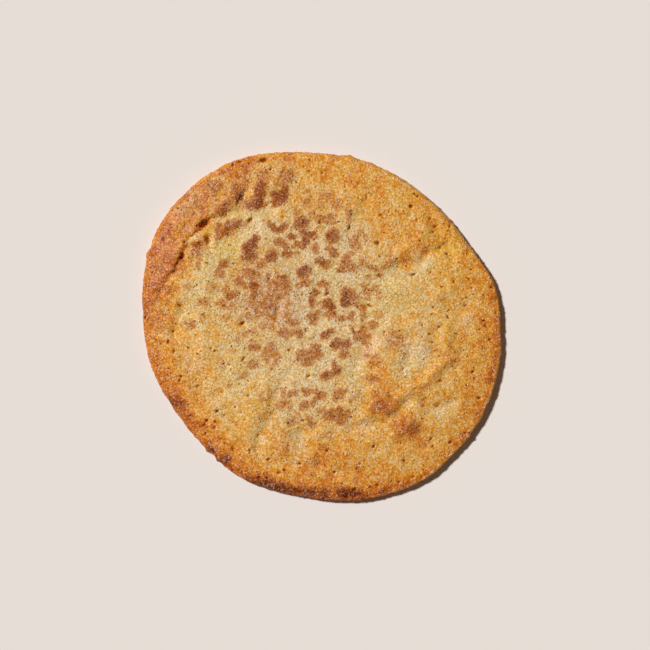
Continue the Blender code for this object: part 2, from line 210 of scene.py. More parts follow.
# Cinnamon islands: middle, half width along and across, direction, strength.
ISLANDS = (
    # the upper left, on the high rim and beside it
    (260.5, 190.5, 9.5, 5.2, 84, 1.00), (252, 203.5, 9, 6, 20, 0.88), (259, 204, 6, 3.6, 90, 1.00),
    (264.5, 205, 3.6, 3.6, 0, 0.56), (284, 194, 7.5, 4.4, 78, 1.00), (276, 195.5, 5.5, 4, -20, 1.00),
    (278.5, 202, 6, 4.2, 15, 0.86), (285, 176, 8, 6.5, 0, 0.62), (277, 181, 4, 5, 0, 0.52),
    (285, 183, 3, 5, 0, 0.56), (262.5, 176, 6.5, 6.5, 0, 0.56), (270.4, 168, 2.5, 3, 0, 0.50),
    (236.5, 186.5, 4.5, 3.8, 0, 0.72), (239.5, 196, 5.5, 3.6, 64, 1.00), (235, 193, 5, 3.8, 30, 0.68),
    (244.5, 186, 7, 3.6, 60, 0.56), (226.5, 204, 6.5, 4.4, 30, 0.84), (221.5, 211, 6.5, 6, 50, 0.74),
    (231, 201, 4, 3, 40, 0.62), (216, 215, 3.5, 3, 0, 0.56), (217, 185.5, 5.5, 5, 40, 0.66),
    (214.5, 192.5, 4.5, 3.6, 70, 0.66), (195, 201, 7.5, 2.4, 100, 0.60), (184.5, 208, 5, 2.8, 0, 0.54),
    (228.3, 228, 7.5, 4.4, 78, 0.88), (235, 223.5, 6.5, 4.2, 15, 0.78), (218.4, 231.5, 8.5, 3.5, 90, 0.74),
    (246, 223.5, 7, 2.2, 52, 0.46), (233, 233, 5, 3.5, 0, 0.42), (225, 236, 5, 3, 0, 0.40),
    # the left
    (253.4, 243.5, 6.8, 4.8, 60, 1.00), (247.5, 250, 6, 5, 60, 1.06), (245.5, 257, 4.8, 3.6, 0, 0.78),
    (255.5, 247.5, 5.4, 3.0, 62, 0.56), (197, 244.5, 4.4, 4.4, 0, 0.86), (196, 254, 5.8, 5.4, 90, 0.52),
    (199, 263, 6, 3, 80, 0.52), (205.5, 238, 5, 2.6, 50, 0.60), (205, 246, 4, 2.6, 90, 0.46),
    (224.5, 264, 5.2, 3.8, 60, 0.72), (220, 273, 5, 4.8, 0, 0.64), (261, 264, 4.6, 4.2, 90, 0.74),
    (246, 271.5, 4.2, 3.6, 0, 0.74), (252, 274, 5.4, 4.2, 60, 0.70), (258, 275, 3.2, 3.2, 0, 0.56),
    (239, 281, 4.4, 4.4, 0, 0.72), (243.5, 285, 4.8, 2.4, -60, 0.66), (253.8, 286, 4.4, 4.4, 0, 0.86),
    (254, 294, 5.4, 2.8, 80, 0.72), (225, 290, 5.2, 4.2, 90, 0.55), (231.5, 295.5, 7, 3.4, 15, 0.76),
    (213, 288, 6.8, 4.8, 0, 0.43), (204, 302, 6.8, 4.8, 10, 0.52), (222, 304, 6, 5, 0, 0.52),
    (232, 306, 6, 5, 0, 0.44), (202, 316, 6, 3.2, 90, 0.44), (225, 317, 5, 3.2, 30, 0.48),
    (193, 324, 4.2, 3.6, 60, 0.58), (185, 322, 4, 4, 0, 0.46), (188, 287, 5, 4, 0, 0.40),
    # the smear left of the middle
    (267.6, 277, 4.8, 2.4, 80, 0.68), (282.5, 277.5, 5.8, 3.2, 5, 0.82), (275.5, 284, 6.4, 4.4, 20, 0.64),
    (285, 284.5, 5.4, 5, -30, 0.68), (289, 289.5, 3.8, 2.8, -30, 0.52), (276, 293.5, 6, 4.4, 0, 0.52),
    (279.5, 297.5, 2.6, 2, 60, 0.82), (285, 294, 3.5, 3.5, 0, 0.54), (268, 297.5, 4.4, 2.8, 45, 0.56),
    (263.5, 303, 4.4, 4, 0, 0.54), (267.5, 306.5, 3.6, 3.4, 0, 0.66), (273, 302, 4, 5, 0, 0.42),
    (254, 304.5, 6.4, 2.8, -15, 0.48), (263, 311.5, 4.6, 3.2, 20, 0.58), (286, 303, 6, 6, 0, 0.42),
    (285, 313, 6.4, 5, 0, 0.46), (274, 318, 4, 4, 0, 0.48), (248, 315.5, 4.4, 2.8, -60, 0.52),
    (293, 322, 6, 3.4, 0, 0.64), (283.5, 332.5, 5.4, 5, 0, 0.62), (292, 332, 4, 3.4, 90, 0.54),
    (286, 337.5, 3, 2.8, 90, 0.54), (245, 334, 3.8, 2.8, 30, 0.52), (252, 331.5, 5, 3.2, 0, 0.40),
    (252, 342, 3.2, 2.8, 0, 0.48), (254.5, 347.5, 6.4, 3, 0, 0.62), (271, 346.5, 5, 4.8, 60, 0.62),
    (268, 354, 7, 4.8, 0, 0.54), (276.5, 354.5, 5.2, 4.2, -40, 0.54), (268, 360, 3, 2.2, -20, 0.52),
    (252.5, 364.5, 5.4, 4.2, 0, 0.54), (236.5, 372.5, 4, 2.8, 0, 0.40), (243, 375, 6, 3.8, 25, 0.44),
    (275, 364, 3.4, 2.8, 40, 0.48), (271, 368, 3, 2.8, 0, 0.48), (230.5, 384.5, 4.4, 2.8, 90, 0.44),
    (263, 325, 5, 4, 0, 0.42), (270, 326, 4, 3, 0, 0.44), (232, 350, 5, 3, 0, 0.36), (237, 340, 4, 4, 0, 0.34),
    # above the middle
    (278, 230, 5.6, 3.2, 0, 0.90), (284, 226.5, 4.0, 3.6, 60, 0.82), (270.5, 225.5, 4.2, 3.6, -30, 0.74),
    (292, 236.5, 3.9, 3.3, 0, 0.86), (284, 244.5, 6.4, 2.8, -45, 0.70), (278.5, 243, 4.2, 3.6, 0, 0.68),
    (296.5, 244.5, 5, 2.8, 20, 0.70), (271.5, 256.5, 6.0, 4.6, 30, 0.90), (271, 251, 4, 3.4, 0, 0.66),
    (287, 254.5, 5.6, 3.4, 0, 0.76), (296, 253, 4, 2.4, 0, 0.56), (301, 222.8, 7.2, 6.0, 20, 0.84),
    (296.5, 211.5, 4.8, 4, 60, 0.52), (306, 203.5, 5, 4, 30, 0.48), (307, 192, 3.4, 3.4, 0, 0.48),
    (319, 219, 5.4, 3.2, 10, 0.54), (328, 218, 7.4, 3.8, 25, 0.68), (333.5, 223, 4.2, 3.2, 0, 0.58),
    (313, 215.5, 4.2, 2.4, -20, 0.54), (327, 197, 8, 6, 0, 0.44), (336, 206, 6, 6, 0, 0.46),
    (319, 205, 5, 4, 90, 0.38), (308, 234, 7.8, 3.4, -8, 0.92), (305, 242, 6.4, 3.4, 75, 0.90),
    (313.5, 236.5, 3.4, 3.4, 0, 0.58), (315.5, 248.5, 4.6, 3.2, -58, 0.66), (332, 236, 7, 6, 60, 0.88),
    (333, 252.8, 5.2, 4.2, -20, 0.72), (329, 248, 3, 2.8, 0, 0.56), (318, 260, 4.4, 2.8, -20, 0.68),
    (325, 264, 4.8, 4.2, -30, 0.86), (304, 271.5, 6, 5.8, 0, 0.98), (305, 283, 5.4, 3.8, 0, 0.70),
    (297, 286.5, 3.4, 2.4, 0, 0.46), (323, 284, 6.0, 3.6, -10, 0.68), (326.6, 290, 4.8, 3.2, 90, 0.58),
    (354, 242, 5.8, 4.4, 80, 0.64), (358, 248, 5, 3.2, -50, 0.50), (351, 253, 3.4, 2.8, 0, 0.62),
    (359, 232, 4.4, 3.2, 60, 0.48), (365.5, 239, 4.4, 2.4, 80, 0.44), (348.6, 213, 9.5, 3.2, 90, 0.52),
    (346, 262, 6.4, 4.8, 80, 0.74), (341, 269.5, 4.4, 3, 0, 0.70), (352, 268, 6.2, 3.8, 0, 0.57),
    (364, 264, 5.4, 3.8, -20, 0.50), (373, 268, 5.2, 3.2, -20, 0.54), (387, 264, 8, 3.2, 45, 0.52),
    (380, 275, 3, 2.8, 0, 0.52), (368.5, 277.5, 3.4, 3.2, 0, 0.52), (388, 256, 5, 3.5, 0, 0.42),
    # the middle
    (315.4, 293.5, 4.2, 3.2, 60, 0.78), (311.6, 302, 6.2, 2.8, 88, 0.82), (317, 303, 3.5, 3, 0, 0.42),
    (326.4, 303, 5.4, 4.8, 0, 0.84), (331, 307.5, 4, 3.6, 60, 1.00), (329, 314.5, 5.8, 4.2, 0, 0.58),
    (335, 314, 4.2, 2.8, -60, 0.68), (312.5, 317, 5, 4.8, 0, 0.74), (313, 322.5, 3.4, 2.8, 0, 0.66),
    (319, 312.5, 3.4, 2.8, 30, 0.62), (347, 292.5, 6.4, 4.6, 0, 0.90), (346, 300.5, 6.6, 4.4, 80, 1.00),
    (353.5, 296.5, 5.4, 3.8, -60, 0.68), (352.5, 303.8, 3.6, 2.4, -45, 0.54), (358.5, 306.5, 4.8, 2.8, -20, 0.64),
    (363, 308.5, 3.4, 3.2, -30, 0.64), (342.5, 318, 5, 3.2, 30, 0.68), (351, 316, 3.8, 3.2, 80, 0.66),
    (362.5, 317, 5.2, 3.4, 80, 0.54), (372.5, 325, 4.6, 4.4, -30, 0.68), (362, 330, 4.6, 4.2, 80, 0.57),
    (366, 336.5, 4.6, 4.4, 0, 0.58), (358, 336.8, 4, 3.8, 0, 0.72), (365, 343, 6.4, 2.8, -40, 0.58),
    (368, 348.5, 3.4, 3, 90, 0.48), (364, 285, 5.4, 3.4, 20, 0.45), (367, 292, 4.6, 4.4, -30, 0.56),
    (365, 298, 4, 3, 0, 0.54), (375, 288.5, 4.2, 3.4, 60, 0.50), (379, 296.5, 4.8, 3.8, 90, 0.48),
    (327, 334, 7, 3.3, 38, 0.88), (299.3, 335, 4.4, 3.8, 60, 0.64), (306, 330, 2.4, 2, 0, 0.50),
    (336.5, 343.5, 5.2, 4.4, 15, 0.86), (346, 345, 5.8, 4.8, 60, 0.80), (344, 353.5, 5.2, 4.2, 0, 0.74),
    (315, 347, 5.2, 3.6, 20, 0.74), (303.5, 354.5, 6.6, 5.8, 0, 0.68), (315, 354, 7.2, 5.0, 0, 0.68),
    (308, 361.5, 6.2, 3.8, 20, 0.70), (299, 357.5, 3.6, 3.6, 0, 0.68), (336.7, 370, 4.7, 4.5, 60, 0.88),
    (333.5, 364, 4.8, 2.8, 110, 0.78), (327, 375.3, 7.4, 4.6, 15, 0.76), (293.5, 383, 3.8, 3.6, 0, 0.38),
    (366.5, 355, 4, 3, 60, 0.58), (388.5, 338.5, 4.4, 3, 45, 0.38), (379, 314, 5, 4, 0, 0.42),
    # below the middle
    (283, 393, 5.8, 3.2, 90, 0.54), (292, 393, 5.6, 3.8, 10, 0.64), (280, 405.5, 4.8, 3.8, 90, 0.56),
    (286, 403, 4.8, 4.2, 60, 0.56), (290, 407.5, 3.4, 2.8, 90, 0.48), (306.5, 391.5, 4, 3.8, 0, 0.70),
    (315, 391, 4.4, 3.6, -20, 0.56), (320, 395.3, 5.6, 4.2, -20, 0.70), (314, 401.5, 5.4, 3, 50, 0.70),
    (303.5, 405, 4.6, 3.4, 30, 0.70), (341, 392, 6.4, 3.6, 10, 0.66), (335, 398, 4, 3.4, 0, 0.70),
    (340, 396.5, 3.4, 3.2, 0, 0.56), (354, 397, 6, 4, 40, 0.44), (331, 414.3, 8.4, 5.4, 8, 0.70),
    (339, 411, 5.2, 4.4, 30, 0.70), (346, 413.3, 3.9, 3.4, 60, 0.66), (341.5, 420.5, 5.2, 4.6, 30, 0.64),
    (322, 411, 4.4, 4.2, 0, 0.48), (290, 421.5, 5.4, 3.9, 10, 0.52), (296, 417, 7, 4.2, 60, 0.40),
    (308, 417, 4.2, 3.4, 0, 0.50), (311, 422.5, 4.8, 3.4, -60, 0.58), (283, 433, 4.8, 4.6, 0, 0.44),
    (261.5, 400, 4, 3.4, 0, 0.52), (260, 394, 3.4, 3, 90, 0.48), (269, 398, 9, 2.8, 85, 0.42),
    (264, 413, 9, 7, 60, 0.34), (327, 434, 5.2, 4.2, 30, 0.40), (222, 366, 4, 4, 0, 0.34),
    (251, 256, 6, 4.6, 20, 0.86),
    (253, 243, 6.6, 4.4, 60, 1.14), (226, 232, 7.5, 4.6, 20, 0.78), (232, 226, 6, 4, 30, 0.88),
)
# Places where the dough itself baked to a brown skin, and places where a brown skin is painted shade on slopes and in
# hollows.
SKINS_AND_SHADE = (
    (374, 361, 9, 7, 0, 0.62), (374, 379, 5, 4.4, 0, 0.76), (366, 378, 4.6, 4.4, 0, 0.56),
    (380, 383, 15, 8, -10, 0.44), (375.5, 394, 4.6, 4.4, 0, 0.64), (382, 404.5, 9, 5.6, 20, 0.86), (384, 404, 18, 11, 10, 0.62),
    (387, 411, 9, 4.6, 0, 0.70), (374, 409, 5.6, 5, 0, 0.74), (413, 419, 5, 4, 0, 0.64),
    (410, 428, 13, 7.5, -16, 0.76), (408, 428, 19, 13, -16, 0.64), (403, 434, 7, 4.6, 0, 0.64), (416, 259.5, 6, 5.4, 0, 0.32),
    (425, 250.5, 7.4, 3.4, 40, 0.52), (430, 243, 5, 3, 70, 0.46), (404, 256, 6, 4, 0, 0.42),
    (414, 224, 4.4, 2.4, -75, 0.64), (417, 231.5, 4, 2.4, -55, 0.58), (446, 241.5, 5.4, 2.8, 20, 0.52),
    (453, 361.5, 9, 5, 10, 0.42), (457, 355, 5, 3.6, 50, 0.36), (444.5, 354, 4, 4, 0, 0.52),
    (426, 385, 4.6, 3.6, 20, 0.62), (431, 376.5, 5, 4, 40, 0.48), (411, 392, 9, 3, 48, 0.54),
    (422, 399, 4, 3, 0, 0.50), (436.5, 405, 3.8, 2.8, 30, 0.56), (439, 324.5, 3, 3.8, 90, 0.56),
    (447, 318, 3, 2.8, 0, 0.56), (439.5, 300, 5, 2.8, 90, 0.50), (473, 280, 3.6, 2.4, 60, 0.66),
    (442, 338, 5, 9, 0, 0.24), (279, 446, 10, 9, 0, 0.48), (288, 448, 4, 3.4, 0, 0.62), (285, 455.5, 5, 3, 0, 0.52),
    (322.5, 447, 6.4, 3.8, 30, 0.60), (326.4, 451, 2.6, 2.4, 0, 0.70), (314, 456, 6.4, 3.8, 40, 0.56),
    (318.5, 463, 6, 2.4, 100, 0.64), (312, 474, 4.4, 3.2, 0, 0.52), (232, 448, 5, 3, 50, 0.60),
    (395.5, 345, 6, 6, 0, 0.36), (398, 331, 5, 4, 60, 0.38), (412, 316, 7, 4, 0, 0.36),
    (374, 212, 8, 5, 30, 0.22), (364, 180, 7, 6, 0, 0.24), (474, 412, 5, 4, 0, 0.50),
    (446, 266, 5, 4, 0, 0.36), (464, 260, 4, 3, 0, 0.42), (452, 280, 4, 3, 0, 0.42),
)
# Wide, thin veils of cinnamon sugar: middle, half widths, direction, strength. The veils in the hollow right of the
# middle, round (396, 340), are painted shade.
VEILS_AND_SHADE = (
    (188, 226, 34, 22, 55, 0.44), (166, 268, 14, 28, 100, 0.50), (204, 192, 26, 14, 48, 0.40),
    (236, 172, 26, 11, 28, 0.28), (264, 300, 32, 24, 10, 0.34), (246, 280, 18, 14, 0, 0.36),
    (292, 404, 40, 12, 0, 0.07), (152, 305, 9, 26, 90, 0.26), (155, 335, 9, 26, 95, 0.22),
    (228, 296, 20, 14, 0, 0.22), (222, 206, 24, 10, 46, 0.30), (182, 378, 24, 36, 25, 0.26),
    (410, 345, 16, 56, 90, 0.24), (384, 412, 26, 16, 0, 0.10), (396, 340, 11, 10, 0, 0.60),
    (330, 486, 60, 8, 0, 0.20), (160, 326, 14, 46, 0, 0.38), (205, 430, 26, 14, -45, 0.26),
    (198, 248, 11, 17, 70, 0.58), (244, 266, 14, 14, 0, 0.30), (268, 258, 34, 20, 0, 0.26), (266, 304, 27, 24, 10, 0.56),
    (404, 350, 11, 14, 80, 0.34), (162, 294, 12, 26, 85, 0.48), (202, 244, 10, 10, 0, 0.60), (250, 266, 14, 10, 0, 0.40), (196, 226, 14, 10, 30, 0.50),
)
# Browning by place: middle, half widths, direction, amount on the bake scale. Partly real browning, and partly
# painted shade on the shaded sides of folds and painted light on slopes that face away from the lamp.
BROWNING_AND_SHADING = (
    # paler places
    (250, 226, 30, 12, 44, -0.20), (216, 258, 22, 15, 60, -0.22), (252, 236, 58, 26, 36, -0.14),
    (318, 262, 44, 40, 0, -0.20), (326, 322, 34, 54, -10, -0.24), (306, 366, 46, 24, 10, -0.20),
    (232, 332, 42, 34, -20, -0.16), (300, 303, 9, 26, 20, -0.12), (340, 276, 26, 8, 0, -0.16),
    (374, 304, 26, 20, 50, -0.12), (414, 350, 13, 26, -24, -0.22), (356, 376, 10, 24, -8, -0.18),
    (382, 340, 8, 14, 0, -0.10), (428, 262, 18, 6, 44, -0.26), (402, 274, 22, 6, 20, -0.22),
    (400, 296, 28, 20, 30, -0.14), (424, 300, 14, 20, 0, -0.08), (300, 443, 12, 12, 30, -0.12),
    (236, 388, 24, 16, 40, -0.12), (258, 436, 10, 16, -35, -0.10), (440, 408, 14, 8, 20, -0.14),
    (409, 402, 8, 6, 30, -0.12), (440, 387, 6, 5, 0, -0.12), (372, 424, 20, 7, 8, -0.10),
    (349, 230, 8, 18, -15, -0.12), (180, 322, 9, 16, 0, -0.04), (194, 262, 8, 16, -20, -0.10),
    (192, 239, 9, 4, 35, -0.16), (222, 219, 12, 5, 30, -0.14),
    (461, 324, 7, 10, 30, -0.10), (449, 386, 8, 5, 0, -0.12), (441, 414, 9, 8, 30, -0.10),
    (402, 212, 34, 26, -20, -0.08), (462, 280, 22, 44, -10, -0.11), (450, 434, 26, 16, 42, -0.11),
    (410, 466, 24, 10, 20, -0.10), (210, 288, 14, 12, 0, -0.10), (484, 300, 10, 24, 0, -0.06),
    # browner places
    (330, 182, 30, 10, 0, 0.03), (262, 406, 9, 18, -30, 0.06),
    (350, 472, 44, 8, -4, 0.05), (214, 354, 14, 16, 0, 0.02), (430, 448, 20, 8, 35, 0.04),
    (320, 455, 22, 12, -10, 0.10), (330, 487, 40, 5, 0, 0.06),
    (384, 396, 14, 18, 10, 0.12), (182, 262, 8, 14, 70, 0.12),
    (159, 300, 8, 26, 95, 0.09), (184, 268, 9, 14, 60, 0.10), (210, 226, 16, 8, 40, 0.06),
    (364, 205, 16, 12, 20, 0.14), (246, 268, 12, 12, 0, 0.06), (372, 426, 16, 8, 10, 0.09),
    (404, 426, 12, 10, 0, 0.10), (342, 446, 14, 10, 0, 0.07), (322, 466, 14, 9, 0, 0.07),
    (184, 400, 14, 16, -40, 0.10), (408, 250, 20, 8, 30, 0.06),
    (200, 246, 9, 10, 0, 0.10), (226, 227, 18, 7, 15, 0.09), (280, 186, 12, 9, 0, 0.08),
    (380, 384, 8, 24, 0, 0.08), (401, 426, 9, 8, 0, 0.09), (421, 445, 11, 9, 0, 0.06),
    (410, 240, 16, 14, 0, 0.05), (420, 386, 8, 8, 0, 0.05), (162, 292, 10, 20, 80, 0.07),
    # and paler again
    (302, 224, 11, 10, 0, -0.08), (302, 264, 12, 12, 0, -0.06), (340, 246, 12, 12, 0, -0.05),
    (374, 288, 22, 12, 0, -0.08), (362, 307, 10, 9, 0, -0.06), (266, 310, 18, 14, 0, -0.04),
    (302, 364, 14, 14, 0, -0.07), (300, 388, 14, 12, 0, -0.05), (202, 392, 10, 17, -30, -0.11),
    (240, 374, 12, 14, 0, -0.07), (222, 420, 15, 10, 0, -0.05), (262, 463, 9, 10, 0, -0.12),
    (262, 446, 9, 10, 0, -0.07), (376, 428, 15, 8, 0, -0.07), (412, 368, 16, 9, 0, -0.09),
    (402, 386, 8, 8, 0, -0.09), (460, 346, 11, 9, 0, -0.06), (440, 266, 9, 9, 0, -0.06),
    (404, 190, 28, 14, -35, -0.06), (288, 408, 18, 9, 0, -0.05), (440, 246, 8, 8, 0, -0.05),
    (204, 296, 14, 16, 0, -0.06), (380, 450, 10, 8, 0, -0.06),
    (186, 300, 13, 14, 0, -0.09), (165, 341, 9, 15, 0, -0.09), (192, 369, 9, 20, 0, -0.12),
    (418, 360, 15, 12, 0, -0.07), (300, 408, 34, 10, 0, -0.08), (222, 413, 16, 14, 0, -0.06),
    (254, 426, 12, 12, 0, -0.05), (446, 330, 12, 22, 0, -0.01), (372, 286, 12, 10, 0, -0.09),
    # browner still
    (236, 205, 32, 14, 40, 0.08), (262, 182, 18, 11, 0, 0.06), (312, 203, 24, 13, 0, 0.07),
    (447, 235, 13, 15, 0, 0.02), (396, 226, 14, 14, 0, 0.04), (426, 240, 9, 9, 0, 0.06),
    (252, 248, 10, 12, 0, 0.05), (174, 270, 8, 10, 0, 0.04),
    (153, 300, 7, 14, 0, -0.09), (300, 482, 12, 5, 0, -0.10), (258, 472, 10, 6, -25, -0.08),
    (360, 289, 14, 12, 0, -0.08), (296, 412, 36, 11, 0, -0.06), (312, 382, 24, 11, 0, -0.05),
    (238, 376, 9, 9, 0, -0.08), (447, 396, 10, 11, 0, -0.07), (195, 294, 12, 10, 0, -0.06),
    (207, 256, 9, 9, 0, -0.09), (312, 244, 18, 8, 0, -0.05), (283, 270, 8, 8, 0, -0.04),
    (166, 380, 7, 18, 0, 0.06), (177, 400, 8, 9, 0, 0.05), (161, 275, 5, 12, 0, 0.06),
    (372, 375, 8, 8, 0, 0.10),
    (198, 288, 14, 13, 0, -0.06), (356, 277, 18, 10, 0, -0.07), (304, 388, 30, 16, 0, -0.05),
    (284, 264, 12, 10, 0, -0.06), (424, 352, 14, 11, 0, -0.06), (447, 314, 18, 8, 0, -0.05),
    (404, 257, 11, 10, 0, 0.10), (312, 208, 26, 12, 0, 0.07), (456, 280, 18, 16, 0, 0.05),
    (450, 420, 14, 14, 0, 0.04), (462, 347, 14, 20, 0, 0.05), (248, 181, 18, 9, 0, 0.10),
    (402, 432, 16, 12, 0, 0.05), (276, 168, 16, 8, 0, 0.05), (190, 322, 8, 8, 0, -0.06), (330, 357, 6, 6, 0, 0.05), (267, 420, 6, 5, 0, -0.03),
    (177, 270, 7, 9, 0, 0.05), (222, 272, 7, 7, 0, 0.05), (464, 346, 7, 8, 0, -0.06), (222, 183, 8, 7, 0, -0.07), (300, 442, 9, 8, 0, -0.05), (342, 286, 6, 5, 0, -0.04),
    (308, 205, 20, 12, 0, 0.04), (252, 180, 8, 6, 0, 0.03),
    (462, 333, 18, 8, 0, 0.04), (462, 280, 16, 12, 0, 0.03), (475, 392, 8, 10, 0, 0.05), (252, 420, 6, 6, 0, 0.03),
    (268, 436, 6, 5, 0, 0.04), (267, 420, 6, 5, 0, -0.05), (387, 468, 7, 6, 0, 0.04), (297, 480, 8, 5, 0, 0.05), (432, 375, 7, 6, 0, 0.04),
    (386, 222, 13, 11, 0, 0.09), (190, 212, 9, 9, 0, 0.05), (305, 166, 14, 6, 0, 0.05), (402, 258, 7, 7, 0, 0.04), (468, 428, 9, 12, 45, 0.06), (207, 286, 10, 10, 0, -0.05), (356, 270, 9, 7, 0, -0.08), (330, 256, 8, 6, 0, -0.05), (372, 286, 8, 7, 0, -0.05), (206, 254, 7, 6, 0, -0.05), (206, 285, 8, 7, 0, -0.05), (297, 392, 14, 16, 0, -0.05), (464, 345, 6, 8, 0, -0.05), (420, 352, 7, 6, 0, -0.03), (330, 357, 7, 7, 0, 0.10), (331, 268, 7, 8, 0, 0.05), (264, 226, 6, 6, 0, -0.08), (334, 435, 16, 8, 0, 0.05), (212, 376, 7, 6, 0, 0.03), (313, 204, 22, 10, 0, 0.03), (254, 178, 14, 8, 0, 0.05), (238, 237, 7, 6, 0, 0.04), (162, 316, 8, 8, 0, 0.04), (210, 374, 8, 7, 0, 0.03), (188, 320, 8, 12, 0, -0.04),
)
# Where the sugar melted to a clear amber glaze (+), or lies milky and dry (-).
AMBER = (
    (218, 207, 36, 20, 42, 1.1), (198, 248, 18, 18, 0, 1.0), (234, 250, 16, 14, 0, 0.8),
    (312, 206, 30, 14, 0, 0.6), (443, 237, 17, 20, 0, 1.2), (395, 292, 30, 20, 0, 0.7),
    (372, 314, 14, 12, 0, 0.4), (207, 302, 15, 18, 0, 0.9), (237, 372, 10, 17, 0, 0.7),
    (282, 434, 9, 9, 0, 0.8), (264, 180, 14, 10, 0, 0.6), (417, 254, 8, 8, 0, -0.7),
    (456, 254, 16, 18, 0, 0.9), (268, 300, 20, 22, 0, -1.3),
    (192, 367, 9, 18, 0, -0.7), (312, 458, 28, 13, 0, -1.2), (360, 427, 20, 10, 0, -1.0),
    (402, 345, 12, 8, 0, -0.5), (468, 318, 12, 10, 0, -0.5), (260, 464, 24, 8, -25, -0.5),
    (350, 322, 16, 12, 0, -0.7), (300, 308, 18, 20, 0, -0.7), (448, 336, 11, 14, 0, 0.8),
    (192, 214, 10, 13, 0, 0.7), (236, 187, 14, 10, 0, 0.5), (252, 418, 8, 8, 0, 0.6),
    (327, 428, 10, 12, 0, 0.5), (382, 408, 14, 8, 0, 0.6), (308, 240, 34, 16, 0, -0.6), (354, 268, 18, 12, 0, -0.3), (238, 286, 14, 18, 0, -0.3),
    (379, 232, 12, 12, 0, -0.6), (365, 478, 16, 6, 0, -0.4), (263, 405, 9, 12, 0, 1.4), (190, 320, 9, 8, 0, 0.8), (440, 322, 10, 10, 0, 0.4), (300, 482, 14, 5, 0, -1.0), (400, 197, 14, 12, 0, 0.6),
    (362, 205, 12, 10, 0, 0.6), (331, 268, 8, 8, 0, 0.8), (428, 259, 6, 4, 40, -0.6), (272, 425, 5, 5, 0, -0.4), (300, 445, 8, 8, 0, -0.6), (264, 226, 6, 5, 0, -0.4), (238, 250, 8, 8, 0, 0.3), (424, 238, 9, 9, 0, 0.4),
)
# The browned rim: direction, strength at the edge, reach inwards in pixels.
RIM_TONE = (
    (0, 0.32, 26), (20, 0.26, 28), (45, 0.21, 24), (70, 0.19, 19), (90, 0.24, 19),
    (110, 0.24, 20), (125, 0.21, 28), (145, 0.28, 30), (160, 0.35, 30), (180, 0.40, 24),
    (196, 0.50, 19), (208, 0.52, 19), (222, 0.52, 18), (236, 0.60, 16), (250, 0.66, 15),
    (265, 0.64, 14), (277, 0.62, 14), (290, 0.48, 16), (305, 0.36, 18), (325, 0.32, 18),
    (345, 0.36, 22), (360, 0.32, 26),
)
# How much paler (-) or browner (+) the outermost crust is: direction, amount on the bake scale.
EDGE_TONE = (
    (0, -0.10), (20, -0.07), (40, -0.04), (60, -0.06), (80, -0.07), (100, -0.03), (120, -0.07),
    (140, -0.04), (160, -0.11), (180, -0.07), (200, 0.0), (225, 0.0), (240, 0.04), (260, 0.05),
    (280, 0.06), (300, 0.0), (320, -0.08), (340, 0.0), (360, -0.10),
)
# Dark scorched spots at the rim.
SCORCHED = (
    (348, 492, 10, 3.8, 4, 1.05), (318, 491, 12, 3.2, 0, 0.60), (284, 486, 16, 5, -8, 0.50),
    (260, 479, 12, 6.5, -22, 0.50), (222, 457, 10, 6, -35, 0.46), (213, 449, 4, 5, 0, 0.50),
    (237, 468.5, 5, 3, -30, 0.50), (177, 403, 9, 5.5, -45, 0.46), (202.5, 423.5, 5, 3.6, 40, 0.62),
    (192.5, 417, 4, 3, 0, 0.44), (186, 418, 3.6, 4, 0, 0.42), (388, 489, 8, 3, 14, 0.36),
    (452, 461, 14, 2.5, 42, 0.56), (487.5, 381, 3, 4, 0, 0.30), (485, 324, 3, 3.6, 60, 0.36),
    (161, 287, 8, 4, 50, 0.24), (180, 258, 8, 3.4, 78, 0.26), (441, 205, 9, 3, -46, 0.14),
    (376, 485, 5, 3, 0, 0.34), (358, 478, 8, 2.2, 5, 0.26),
)
